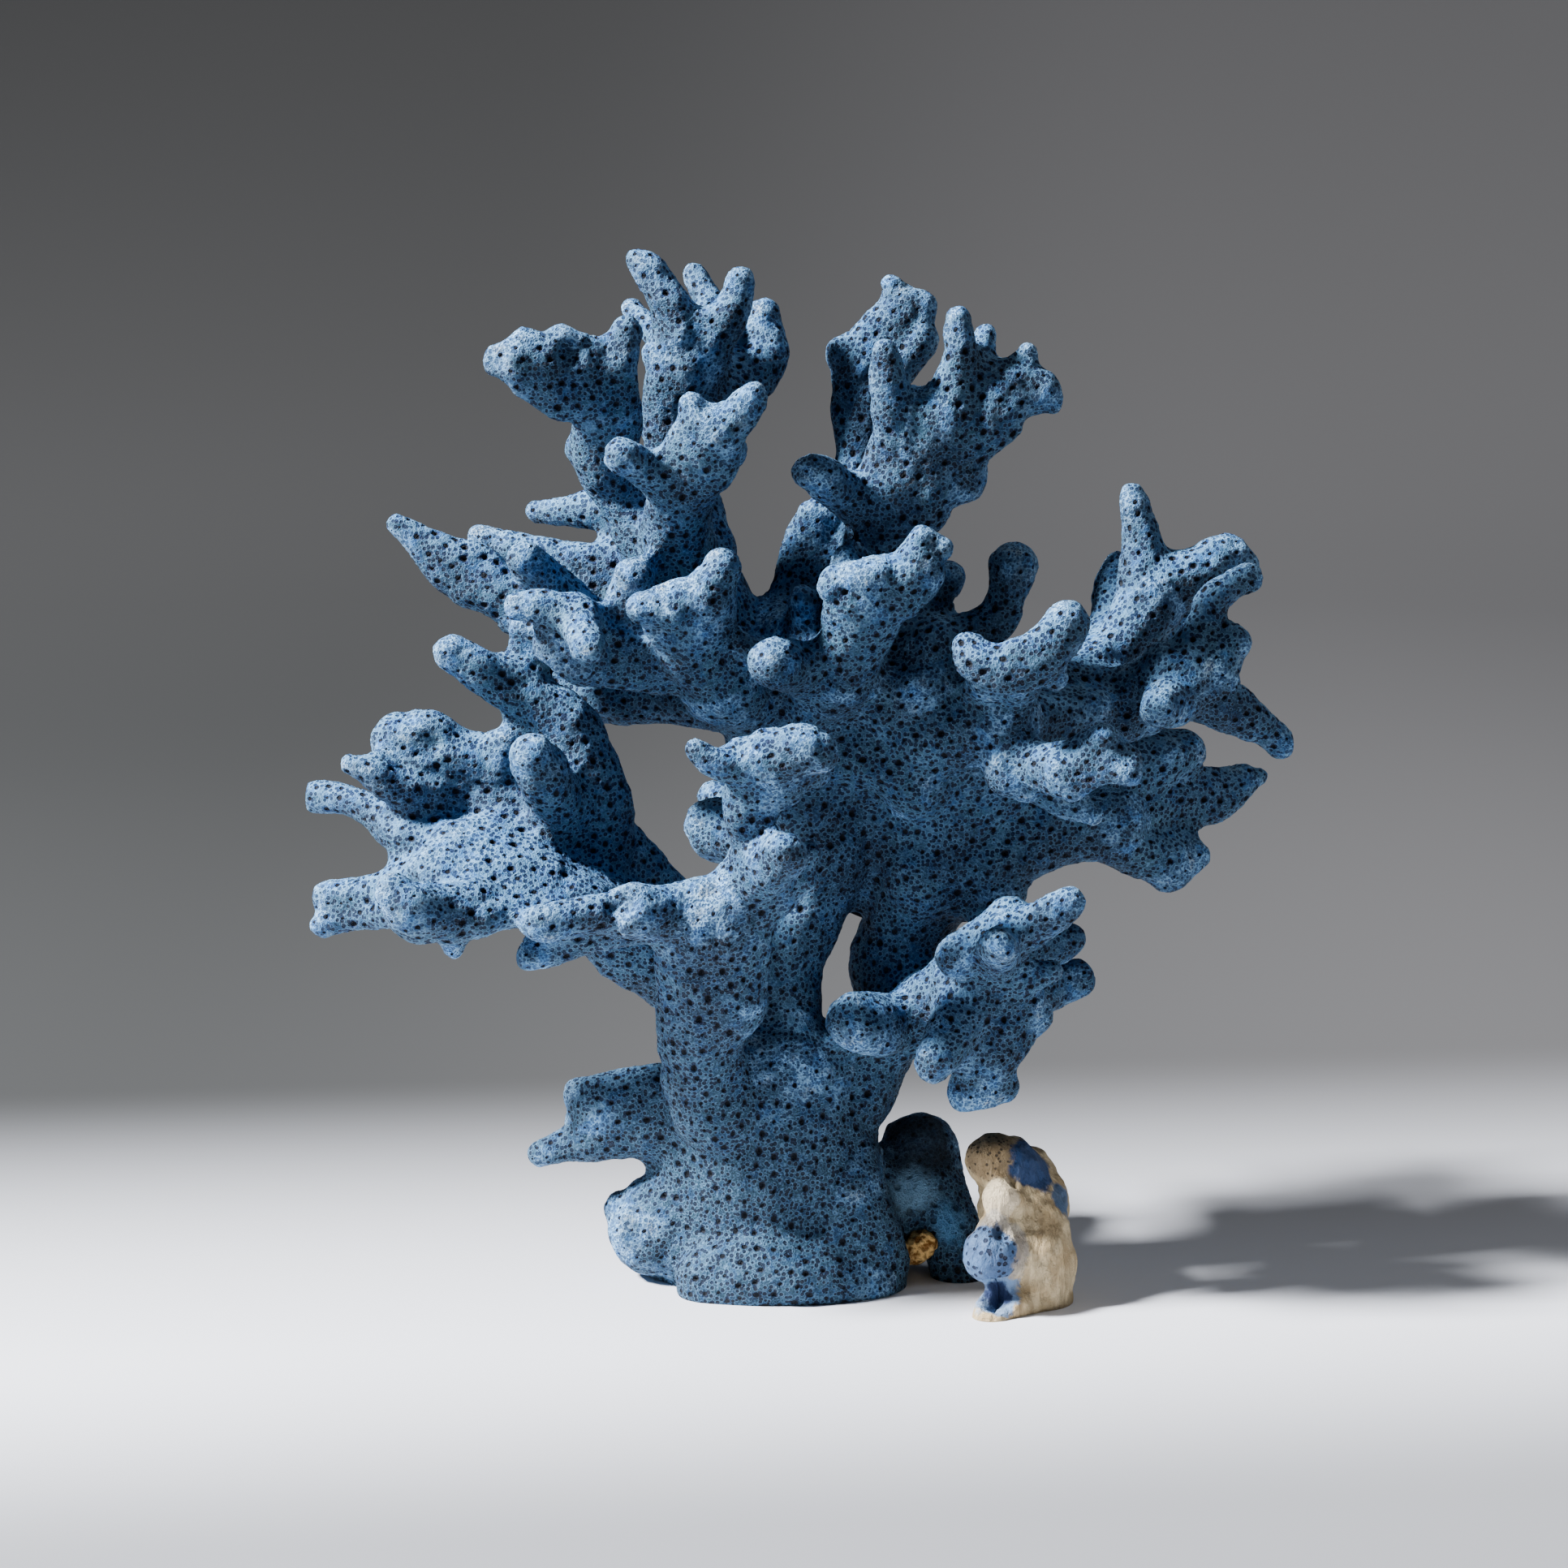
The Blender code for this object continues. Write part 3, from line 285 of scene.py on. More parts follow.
        bowl_floor=limb((34, 12, 7, 5), (36.6, 15.2, 13, 4.2, 3.4), (38, 18, 20, 4.2, 2.8)),
        saddle=limb((29.9, 21.9, 23, 2.7), (31.3, 19.8, 25, 4, 2.6), (35.4, 18.6, 26, 4.4, 2.4),
                    (40, 19.8, 26, 4.4, 2.6), (43.4, 23, 25, 4, 2.9), (46, 25.9, 23, 3.4, 3)),
        saddle_lip=limb((42, 19, 25, 2.8), (43.6, 17, 24, 1.9)),
        ridge=limb((35, 10, 11, 4.6), (36.4, 5, 12, 4.2), (35.8, 1.6, 13, 3.4)),
        nub_a=limb((35.5, 3, 14, 2.8), (36, 0.2, 15, 1.8)),
        nub_b=limb((37, 2, 12, 3), (38.6, -1.2, 13, 1.9)),
        recess=limb((36, 11, 7, 4.4), (43, 11, 5, 3.8), (50, 12.6, 2, 3)),
        recess_low=limb((40, 8.6, 5, 4.2), (48, 8.6, 1, 3.8), (55, 9.6, -2, 3.2), (59, 10, -3, 2.2)),
        gap_web=limb((23, 18, 6, 4.6), (29, 18, 5, 4)),
        shield_root=limb((37, 3, 9, 4.4), (42, 2.6, 17, 3.6)),
        shield=limb((41, 2.6, 17, 3.4, 2.8), (46.5, 2.6, 22, 4.9, 2.1), (51.4, 4.2, 24, 4.7, 1.8),
                    (55.3, 3.3, 24, 3.4, 1.8), face=(-0.25, 0.35, 0.9)),
        shield_point=limb((45, 2, 22, 3), (46.8, -0.9, 23, 1.7)),
        shield_peak=limb((49, 4, 23, 2.8), (51.4, 7.6, 24, 1.8)),
        shield_end=limb((52, 3.5, 24, 2.6), (55.4, 1.7, 25, 1.8)),
        drip_finger=limb((41, 0.5, 10, 3.8), (46.5, -3, 12, 3), (49.4, -4.9, 13, 1.9)),
    ),
    "right_far_branch": dict(
        arm=limb((38, 14, 1, 4.4), (46, 16.6, -2, 3.1), (53, 16.2, -3, 2.8), (58, 17.2, -2, 3.2)),
        star=limb((57, 15.5, -2, 3.6), (61.5, 16, 1, 5.8, 4), (67.5, 17, 0, 6.4, 3.8)),
        star_shoulder=limb((63, 18, 0, 4), (60.7, 20, 0, 2.4)),
        star_up=limb((65.5, 20, 0, 4.2), (67.8, 26, -1, 3), (69.3, 30, -2, 2.7), (74.7, 33, -4, 2.2)),
        star_side=limb((69, 18, 0, 3.6), (72.3, 22.8, 0, 2.7)),
        star_low=limb((67, 14.5, 0, 5.2, 3.6), (74, 10.4, -2, 3.7, 2.8), (80, 6.4, -4, 2, 1.9)),
        star_knob=limb((63.5, 14.6, 1, 4.8), (61.3, 12.6, 6, 3.9), (60.4, 12, 8.4, 2.9)),
        far_stem=limb((46, 16, -5, 4.2), (52.5, 21, -12, 4.2), (58, 27.5, -16, 5.4), (60, 31, -17, 5.6)),
        spike=limb((58, 28, -16, 4.6), (57.9, 35, -17, 3.9), (57.3, 41, -18, 3), (56, 46.7, -18, 1.7)),
        side_arm=limb((60, 31.5, -17, 5.4), (66.5, 33.8, -18, 4.5), (71.3, 36.7, -19, 3.6),
                      (73.8, 35.2, -19, 2.6)),
        behind=limb((48, 19, -10, 4), (51.5, 25.5, -22, 3), (52.6, 31, -25, 2.6), (53.5, 35.6, -26, 1.5)),
        behind_right=limb((56, 21, -18, 3.6), (62, 24, -27, 3), (66.5, 27, -32, 2)),
    ),
    "upper_centre_fan": dict(
        root=limb((6, 14, 2, 7), (9, 18, 10, 6)),
        leaf=limb((8.5, 17, 9, 6), (11, 22.5, 14, 5.6, 5), (13, 28, 19, 6.4, 3.8), (13, 33, 21, 5.4, 3)),
        leaf_right=limb((10.5, 30.5, 20, 4.6, 3.2), (17.5, 31.3, 20, 5.2, 3.2), (22.3, 34.6, 20, 3.9, 3)),
        leaf_finger=limb((20.5, 35, 20, 3), (22.2, 39.4, 20, 2)),
        leaf_nub=limb((22.5, 36, 20, 2.8), (25.1, 37.9, 20, 1.8)),
        leaf_left=limb((10, 32, 20, 3.4), (8.6, 32, 20, 3)),
        side_finger=limb((7, 17, 8, 5.4), (2.5, 18.6, 14, 4.3), (-1.8, 19.6, 20, 3.9)),
        side_nub=limb((-1, 20.5, 14, 3), (-6.6, 22.2, 14, 1.9)),
        back_knob=limb((14, 24, 4, 4.6), (21.5, 29, 1, 3.6), (26.2, 33, 0, 2.9)),
        inner_knob=limb((3, 22, 0, 4), (3, 29.6, 5, 2)),
        thorn=limb((10.4, 31, 16, 3.6), (9.8, 36.8, 14, 1.5)),
        back_nub=limb((12, 14, -6, 5), (18, 20, -9, 2.7)),
    ),
    "upper_left_fan": dict(
        root=limb((-6, 14, 0, 7), (-10, 16, 7, 6.4)),
        leaf=limb((-10, 16, 7, 6.2, 5.6), (-13, 21, 12, 6.6, 4.6), (-14.8, 26.5, 17, 7.6, 3.8),
                  (-15.6, 30, 19, 8, 3)),
        leaf_finger=limb((-12, 30, 19, 4.4), (-9.9, 34.8, 19, 3.2)),
        leaf_corner=limb((-18, 28, 19, 4), (-22.8, 28.3, 20, 2.5)),
        knob=limb((-20, 24, 6, 4.6), (-25, 29, 9, 3.3), (-24, 33.3, 11, 3.1)),
        hook_plate=limb((-12, 19, 5, 5.6, 5.4), (-23, 20.4, 8, 5.6, 4.8), (-31.5, 21.6, 12, 5.8, 4.2),
                        (-36.5, 23.8, 13, 4.4, 3.4)),
        hook_finger=limb((-33, 26, 14, 4), (-38.8, 28.3, 16, 2.8), (-42.8, 28.4, 16, 2)),
        hook_tip=limb((-33.5, 27, 15, 3.4), (-32, 24, 20, 2.9), (-31.3, 22.3, 23, 2.6)),
        long_root=limb((-26, 22, 2, 5), (-34, 26, -1, 5), (-42, 28.5, -3, 4.4)),
        long_finger=limb((-41, 29, -3, 4.4), (-45.5, 31, -3, 4.6), (-50, 33.7, -3, 5.2, 3.6),
                         (-55, 36.4, -3, 4.1, 3.2), (-58.8, 39.2, -3, 2.6), (-62.2, 41.7, -3, 1.8)),
        long_knob=limb((-34, 28, 1, 4), (-38.6, 33, 4, 3.7), (-41.7, 36.3, 7, 2.5)),
        under_lobe=limb((-36, 24, 3, 4), (-41, 25, 2, 2.8)),
    ),
    "upper_left_rear_fan": dict(
        root=limb((-5, 14, -7, 6.5), (-9, 21, -8, 6.5), (-13, 28, -9, 5.5)),
        plate=limb((-10, 28, -9, 7, 4.5), (-24, 31.5, -11, 6.6, 3.6), (-34, 33.4, -12, 5.4, 3.2),
                   (-39, 35, -13, 3.2, 2.6)),
        plate_tip=limb((-38, 36.5, -13, 2.8), (-45.5, 38.6, -17, 2), (-48.8, 39.9, -18, 1.6)),
        low_band=limb((-6, 13.5, -8, 6, 5), (-19, 14.2, -12, 4.6, 5), (-31, 14.3, -15, 4.6, 4.6),
                      (-38.6, 18.6, -17, 3)),
        rear_finger=limb((-20, 30, -12, 5), (-27, 33, -25, 4), (-32, 35, -36, 2.6)),
        rear_fork=limb((-24, 14, -13, 4.4), (-28, 18, -25, 3.4), (-30, 19, -32, 2.4)),
    ),
    "top_left_branch": dict(
        root=limb((-10, 24, -4, 7.5), (-16, 34, -2, 7)),
        hand=limb((-16, 33, -1, 6.6), (-17, 40, 5, 5.8), (-16.3, 46.5, 11, 5.6, 4.8),
                  (-13.6, 52.5, 16, 6.6, 4.4), (-11.7, 57.5, 19, 5.8, 3.6)),
        hand_left=limb((-17.5, 48, 13, 4.4), (-22.5, 51, 17, 3), (-26.1, 52.7, 20, 2.7)),
        hand_right=limb((-9, 58, 19, 3.8), (-4.9, 62, 20, 2.6)),
        hand_middle=limb((-14, 58, 19, 3.2), (-14.8, 61, 19, 2.3)),
        hand_back=limb((-12, 52, 13, 5), (-8.6, 53.5, 12, 2.8)),
        wing_stem=limb((-17, 35, -3, 6.2), (-25, 44.5, -4, 4.8), (-29, 51.5, -2, 4.8),
                       (-29, 58, 2, 5.8, 4.4), (-28.8, 64.5, 5, 6, 3.8)),
        wing=limb((-29, 64, 5, 7.4, 4), (-36, 66, 8, 7.2, 3.4), (-43, 67.8, 10, 5.2, 3),
                  (-46.2, 68, 10, 3.2, 2.4)),
        wing_finger=limb((-27.4, 67, 5, 4.4), (-25.5, 72.3, 5, 2.5)),
        wing_bump_a=limb((-36, 69, 8, 3.6), (-35.8, 71.6, 8, 2.3)),
        wing_bump_b=limb((-42, 68.6, 9, 3.6), (-41.7, 70.9, 9, 2.8)),
        wing_knob=limb((-30.5, 53, -2, 3.6), (-32.4, 53.7, -3, 2.3)),
        blade_stem=limb((-13, 32, -6, 6), (-14.5, 43, -12, 5.2), (-17.3, 52, -14, 4.8),
                        (-18.6, 58.3, -13, 4.6, 4), (-16.6, 65, -10, 5.4, 3.6), (-14, 71, -9, 7, 3.3)),
        blade_left=limb((-16.5, 73, -9, 3.8), (-19.6, 78.5, -9, 3.1), (-21.6, 82, -10, 2.7),
                        (-23.6, 84.4, -11, 2)),
        blade_right=limb((-10.4, 72.5, -9, 3.8), (-7.3, 77.8, -9, 2.9), (-6.9, 80.7, -9, 2.2)),
        blade_web=limb((-19, 75, -9, 2.8), (-13.8, 73.8, -9, 2.6), (-8.4, 75, -9, 2.8)),
        blade_nub=limb((-18, 67.5, -10, 3), (-20.4, 69, -10, 2)),
        rear_left=limb((-17, 68, -12, 3.4), (-21, 73, -20, 2.6), (-24.2, 76.2, -24, 1.9)),
        rear_middle=limb((-13, 68, -13, 4), (-12, 75, -22, 2.7), (-14.4, 82, -26, 1.9)),
        rear_right=limb((-13, 60, -13, 4.4), (-5, 66, -20, 4.4), (-3, 70, -22, 3.8),
                        (-3.4, 75.3, -23, 2.4)),
        low_finger=limb((-18, 38, -8, 4.8), (-26, 42.4, -15, 3.6), (-33, 44.2, -19, 2.8),
                        (-39.7, 43.6, -23, 1.8)),
    ),
    "top_right_branch": dict(
        root=limb((9, 24, -4, 7), (13.5, 33, 1, 6.4)),
        palm=limb((13.5, 32, 0, 6.4), (15.3, 40, 5, 6.4, 5.6), (19.8, 47.5, 9, 8.2, 5),
                  (22.8, 54.5, 11, 8.4, 4.4), (24, 59, 12, 7.4, 4)),
        palm_bulge=limb((22, 48, 9, 5), (27.5, 49.6, 8, 4.9)),
        thumb=limb((14, 43, 7, 4.6), (8.8, 47.2, 12, 3.6), (4.7, 50.2, 15, 2.9)),
        finger_left=limb((18.4, 56, 12, 4), (17.5, 62, 13, 3.2), (16.6, 66.3, 14, 2.5),
                         (15.8, 69.7, 15, 1.6)),
        finger_middle=limb((26.5, 60, 12, 4.6), (28, 67.5, 12, 3.3), (28, 73, 12, 2.3),
                           (27.9, 75, 12, 1.9)),
        paddle=limb((26, 55, 11, 6.5, 4), (32.5, 59.6, 11, 6.4, 3.7), (37.6, 63, 10, 6, 3.2),
                    (41.6, 63, 10, 3.6, 2.6)),
        paddle_peak=limb((36.5, 65, 10, 3.4), (38.9, 69, 9, 1.8)),
        paddle_end=limb((39, 62, 10, 3), (43, 61.3, 10, 1.9)),
        paddle_ridge=limb((31, 67, 8, 3), (32.2, 72, 5, 1.4)),
        blade=limb((12, 32, -7, 6), (11.9, 43, -12, 5), (11.9, 53, -14, 4, 3.8), (12.4, 62, -15, 4.7, 3.4),
                   (15.2, 69, -16, 5.6, 3.2), (18.6, 74.6, -17, 4.8, 2.9), (19.6, 77.6, -17, 3.6, 2.4)),
        blade_corner=limb((12, 66.5, -15, 3.8), (9.4, 69, -15, 2.3)),
        blade_point=limb((18, 77, -17, 2.6), (17.3, 79.9, -17, 1.3)),
        blade_top=limb((17.6, 78.2, -17, 2.7, 2), (22.4, 76.2, -17, 2.6, 2)),
        blade_belly=limb((18, 67, -16, 3.6), (21.3, 71.5, -17, 3.4)),
        spur=limb((3, 20, -6, 7, 6), (3, 30, -8, 5.2, 4.6), (4, 37.5, -9, 4.8, 3.8),
                  (5.4, 42.6, -9, 3.1, 2.8)),
        rear_finger=limb((12, 48, -13, 4.4), (15.5, 54, -26, 3.2), (18, 58, -33, 2.3)),
    ),
    "back_branch": dict(
        root=limb((4, -14, -8, 7), (4, -4, -20, 6), (7, 5, -31, 6.4, 4.2), (7, 12, -38, 6.4, 3.6)),
        left_lobe=limb((1, -10, -12, 6), (-6, -8.4, -19, 5), (-11.4, -7.4, -23, 4.6)),
        light_finger=limb((-4, -5, -24, 4), (-11.6, -2, -33, 2.4)),
        fork_a=limb((4, 12, -37, 3.8), (0, 18, -44, 2.8)),
        fork_b=limb((9, 13, -38, 3.6), (12.5, 19, -44, 2.6)),
        fork_c=limb((9, 5, -32, 4), (15, 7, -42, 2.8)),
    ),
    "back_low_branch": dict(
        root=limb((6, -52, -10, 7), (12, -47, -20, 5.2), (15, -42.5, -29, 3.8)),
        fork=limb((9, -49, -18, 4.6), (5, -51, -29, 3.2)),
    ),
    "base_lump": dict(
        shoulder=limb((12, -68, -8, 8), (20.5, -65, -10, 7.4, 6), (21.8, -58.6, -12, 6, 5.6)),
        leg=limb((23, -66, -9, 6.2), (27, -72, -6, 5.2), (28.2, -80, -4, 4.6), (28.4, -90, -4, 4.4)),
    ),
    "crusted_lump": dict(
        head=limb((39, -67, 4, 6.6), (35.6, -62, 7, 5.6), (33.6, -60.6, 8, 4.6)),
        back=limb((39, -62.5, 3, 4.4), (42, -68, 4, 3.8)),
        body=limb((38, -68, 7, 6.8), (40.2, -76, 10, 6.6), (40, -84, 10, 6.4), (39, -94, 12, 6.4)),
        knob=limb((36, -68, 10, 4), (34.8, -66.6, 14, 3.3)),
        collar=limb((38, -71, 10, 4.4), (34, -71.6, 15, 3)),
        nose=limb((37, -75.5, 12, 5), (33.4, -75.6, 16.6, 4.7)),
        toe=limb((37, -84, 14, 5), (33.4, -85.5, 19, 3.2), (33.4, -94, 19, 3.2)),
    ),
    "rubble_crumb": dict(
        crumb=limb((21.2, -74.8, -2, 2.4), (22.6, -73.8, -2, 2.2)),
    ),
}

CRUST = ("crusted_lump",)
CRUMB = ("rubble_crumb",)
CORAL = tuple(name for name in BRANCHES if name not in CRUST + CRUMB)


def place(u, v, d):
    """The points at (u, v) of the drawing plane, moved to d in front of the trunk along their sight lines.

    Each is eye + share * (point of the plane - eye). A thing there has that share, given too, of the size
    that it would have in the plane for the same picture.
    """
    toward = np.array([0, -math.cos(VIEW_ELEVATION), math.sin(VIEW_ELEVATION)])
    upward = np.array([0, math.sin(VIEW_ELEVATION), math.cos(VIEW_ELEVATION)])
    target = np.array([0, 0, VIEW_HEIGHT])
    eye = target + VIEW_DISTANCE * toward
    through = target + np.multiply.outer(u, [1, 0, 0]) + np.multiply.outer(v, upward)
    share = (-np.asarray(d) - eye[1]) / (through[..., 1] - eye[1])
    return eye + share[..., None] * (through - eye), share


def drawn_out(stations):
    """Rows of x, y, z, half width and half thickness along a smooth curve, about one each STEP_ALONG.

    The curve is a Catmull-Rom one: between b and c it leaves b along c - a, and meets c along e - b.
    """
    table = np.array([[*s, s[3]] if len(s) == 4 else s for s in stations], float)
    points, scale = place(table[:, 0], table[:, 1], table[:, 2])
    rows = np.hstack([points, table[:, 3:] * scale[:, None]])
    knots = np.vstack([2 * rows[0] - rows[1], rows, 2 * rows[-1] - rows[-2]])
    pieces = []
    for a, b, c, e in zip(knots, knots[1:], knots[2:], knots[3:]):
        count = max(2, math.ceil(np.linalg.norm((c - b)[:3]) / STEP_ALONG))
        t = (np.arange(count) / count)[:, None]
        square, cube = 2 * a - 5 * b + 4 * c - e, 3 * b - a - 3 * c + e
        pieces.append((2 * b + (c - a) * t + square * t**2 + cube * t**3) / 2)
    return np.vstack([*pieces, rows[-1:]])


def with_round_ends(rows):
    """The rows with half an ellipsoid at each end: reach * sin(angle) along, size * cos(angle) across."""
    angles = np.linspace(0, math.pi / 2, CAP_ROWS + 1)[1:, None]
    caps = []
    for row, way in ((rows[0], rows[0] - rows[1]), (rows[-1], rows[-1] - rows[-2])):
        reach = min(row[3], row[4]) * way[:3] / np.linalg.norm(way[:3])
        caps.append(np.hstack([row[:3] + np.sin(angles) * reach, np.cos(angles) * row[3:]]))
    return np.vstack([caps[0][::-1], rows, caps[1]])


def unit(rows):
    """The rows, each divided by its length."""
    return rows / np.linalg.norm(rows, axis=1)[:, None]


def ring_quads(count, sides, first=0):
    """The quads between that many rings of points, one after another from the point first on."""
    ring = first + np.arange(count - 1)[:, None] * sides
    here = np.arange(sides)[None]
    there = (here + 1) % sides
    quads = np.stack([ring + here, ring + there, ring + sides + there, ring + sides + here], axis=-1)
    return quads.reshape(-1, 4)


def limb_surface(stations, face, swell):
    """An ellipse carried along: centre + width * cos(turn) * across + thickness * sin(turn) * through."""
    rows = drawn_out(stations)
    rows[:, 3:] += swell
    rows = with_round_ends(rows)
    along = unit(np.gradient(rows[:, :3], axis=0))
    never_parallel = 1e-3
    across = unit(np.cross(along, np.array([face[0], -face[2], face[1]]) + never_parallel))
    through = np.cross(across, along)
    turn = np.arange(SIDES) * 2 * math.pi / SIDES
    wide = (rows[:, 3, None] * np.cos(turn))[..., None] * across[:, None]
    thick = (rows[:, 4, None] * np.sin(turn))[..., None] * through[:, None]
    rings = (rows[:, None, :3] + wide + thick)[1:-1]
    count = len(rings)
    points = np.vstack([rings.reshape(-1, 3), rows[:1, :3], rows[-1:, :3]])
    here = np.arange(SIDES)
    there = (here + 1) % SIDES
    first, last = count * SIDES, count * SIDES + 1
    start = np.stack([there, here, np.full(SIDES, first)], axis=-1)
    end = np.stack([here, there, np.full(SIDES, last)], axis=-1)
    end[:, :2] += (count - 1) * SIDES
    return points, ring_quads(count, SIDES), np.vstack([start, end])


def mesh_from(name, points, *faces):
    """A mesh object of the points and of any arrays of triangles and quads."""
    mesh = bpy.data.meshes.new(name)
    sizes = np.concatenate([np.full(len(f), f.shape[1]) for f in faces])
    corners = np.concatenate([f.ravel() for f in faces]).astype(np.int32)
    starts = np.concatenate([[0], np.cumsum(sizes)[:-1]]).astype(np.int32)
    mesh.vertices.add(len(points))
    mesh.vertices.foreach_set("co", (points * MM).astype(np.float32).ravel())
    mesh.loops.add(len(corners))
    mesh.loops.foreach_set("vertex_index", corners)
    mesh.polygons.add(len(sizes))
    mesh.polygons.foreach_set("loop_start", starts)
    mesh.update(calc_edges=True)
    mesh.validate()
    obj = bpy.data.objects.new(name, mesh)
    bpy.context.scene.collection.objects.link(obj)
    return obj


def baked(obj):
    """Replaces the object's mesh with what its modifiers make of it."""
    graph = bpy.context.evaluated_depsgraph_get()
    mesh = bpy.data.meshes.new_from_object(obj.evaluated_get(graph), depsgraph=graph)
    obj.modifiers.clear()
    old = obj.data
    obj.data = mesh
    bpy.data.meshes.remove(old)


def add_remesh(obj, grid):
    remesh = obj.modifiers.new("Fuse", "REMESH")
    remesh.mode = "VOXEL"
    remesh.voxel_size = grid * MM


def grown_together(name, branches, fillet, fuse_grid, skin_grid):
    """All limbs of the branches as one skin: each swells by the fillet, and the fused whole shrinks by it."""
    arrays = []
    start = 0
    for branch in branches:
        for stations, face in BRANCHES[branch].values():
            points, quads, tris = limb_surface(stations, face, fillet)
            arrays.append((points, quads + start, tris + start))
            start += len(points)
    obj = mesh_from(name, *(np.vstack(a) for a in zip(*arrays)))
    add_remesh(obj, fuse_grid)
    shrink = obj.modifiers.new("Shrink back", "DISPLACE")
    shrink.mid_level = 0
    shrink.strength = -fillet * MM
    add_remesh(obj, skin_grid)
    smooth = obj.modifiers.new("Smooth", "SMOOTH")
    smooth.iterations = SMOOTH_PASSES
    baked(obj)
    cut_flat(obj)
    return obj


def cut_flat(obj):
    """Cuts the skin off at the floor and closes the cut."""
    mesh = bmesh.new()
    mesh.from_mesh(obj.data)
    everything = mesh.verts[:] + mesh.edges[:] + mesh.faces[:]
    bmesh.ops.bisect_plane(mesh, geom=everything, plane_co=(0, 0, 0), plane_no=(0, 0, 1), clear_inner=True)
    rim = [edge for edge in mesh.edges if edge.is_boundary]
    bmesh.ops.holes_fill(mesh, edges=rim)
    mesh.to_mesh(obj.data)
    mesh.free()


def points_of(mesh):
    """The mesh's points and its normals, as arrays."""
    points = np.empty(len(mesh.vertices) * 3, np.float32)
    mesh.vertices.foreach_get("co", points)
    normals = np.empty_like(points)
    mesh.vertices.foreach_get("normal", normals)
    return points.reshape(-1, 3) / MM, normals.reshape(-1, 3)


def move_points(mesh, points):
    mesh.vertices.foreach_set("co", (points * MM).astype(np.float32).ravel())
    mesh.update()


def swell_noise(points, size, seed):
    """Smooth noise from -1 to 1: random values on a cubic lattice of that size, eased between its corners."""
    side = 32
    past_any_point = 100.5
    lattice = np.random.default_rng(seed).uniform(-1, 1, (side, side, side)).astype(np.float32)
    scaled = points / size + past_any_point
    cell = np.floor(scaled).astype(np.int32)
    part = scaled - cell
    part = part * part * (3 - 2 * part)
    total = np.zeros(len(points), np.float32)
    for corner in np.ndindex(2, 2, 2):
        index = (cell + corner) % side
        share = np.prod(np.where(np.array(corner) == 1, part, 1 - part), axis=1)
        total += share * lattice[index[:, 0], index[:, 1], index[:, 2]]
    return total


def lumps_at(points, lumps, seed):
    """How high the lumps are: the sum of height * noise of its size, for each (height, size)."""
    return sum(height * swell_noise(points, size, seed + i) for i, (height, size) in enumerate(lumps))


def roundness(obj):
    """How far each point stands out of the skin smoothed over: above 0 on ridges, below 0 in forks."""
    points, normals = points_of(obj.data)
    smooth = obj.modifiers.new("Even out", "SMOOTH")
    smooth.iterations = ROUNDNESS_PASSES
    graph = bpy.context.evaluated_depsgraph_get()
    even = obj.evaluated_get(graph).data
    smoothed = np.empty(len(points) * 3, np.float32)
    even.vertices.foreach_get("co", smoothed)
    obj.modifiers.clear()
    return ((points - smoothed.reshape(-1, 3) / MM) * normals).sum(axis=1)


def near_cells(reach):
    """All cell offsets up to that many cells away."""
    steps = np.arange(-reach, reach + 1)
    return np.stack(np.meshgrid(steps, steps, steps, indexing="ij"), axis=-1).reshape(-1, 3)


class PoreField:
    """Pores spread evenly over a skin, and found by the cells of a cubic grid. A cell holds at most one."""

    def __init__(self, points, spacing, seed):
        """Draws one point of the skin in each cell, then keeps those that outrank all within the spacing."""
        chance = np.random.default_rng(seed)
        self.size = spacing * PORE_CELL
        self.low = points.min(axis=0) - (CELLS_AWAY + 1) * self.size
        cells = self.cells(points)
        self.shape = cells.max(axis=0) + CELLS_AWAY + 2
        keys = self.key(cells)
        order = np.lexsort((chance.random(len(points)), keys))
        first = np.concatenate([[True], np.diff(keys[order]) > 0])
        self.index = order[first]
        self.centres = points[self.index]
        rank = chance.random(len(self.centres))
        alive = np.ones(len(self.centres), bool)
        kept = np.zeros(len(self.centres), bool)
        for _ in range(PORE_ROUNDS):
            self.fill(np.flatnonzero(alive))
            outranked = np.zeros(len(self.centres), bool)
            for found, gap, mine in self.neighbours(self.centres):
                close = (found >= 0) & (found != mine) & (gap < spacing) & alive[mine]
                outranked[mine[close & (rank[found] > rank[mine])]] = True
            winners = alive & ~outranked
            kept |= winners
            alive &= ~winners
            self.fill(np.flatnonzero(kept))
            for found, gap, mine in self.neighbours(self.centres):
                alive[mine[(found >= 0) & (found != mine) & (gap < spacing)]] = False
        self.index = self.index[kept]
        self.centres = self.centres[kept]
        self.fill(np.arange(len(self.centres)))

    def cells(self, points):
        return np.floor((points - self.low) / self.size).astype(np.int64)

    def key(self, cells):
        return (cells[:, 0] * self.shape[1] + cells[:, 1]) * self.shape[2] + cells[:, 2]

    def fill(self, which):
        """Notes in the grid which pore each cell holds."""
        self.grid = np.full(int(np.prod(self.shape)), -1, np.int32)
        self.grid[self.key(self.cells(self.centres[which]))] = which

    def neighbours(self, points):
        """For each cell offset near by: the pore found there, how far off it is, and the points' numbers."""
        mine = np.arange(len(points))
        cells = self.cells(points)
        for offset in near_cells(CELLS_AWAY):
            found = self.grid[self.key(np.clip(cells + offset, 0, self.shape - 1))]
            gap = np.linalg.norm(self.centres[found] - points, axis=1)
            yield found, gap, mine

    def nearest(self, points):
        """The nearest pore of each point."""
        best = np.full(len(points), 1e9)
        which = np.zeros(len(points), np.int64)
        for found, gap, _ in self.neighbours(points):
            closer = (found >= 0) & (gap < best)
            best[closer] = gap[closer]
            which[closer] = found[closer]
        return which


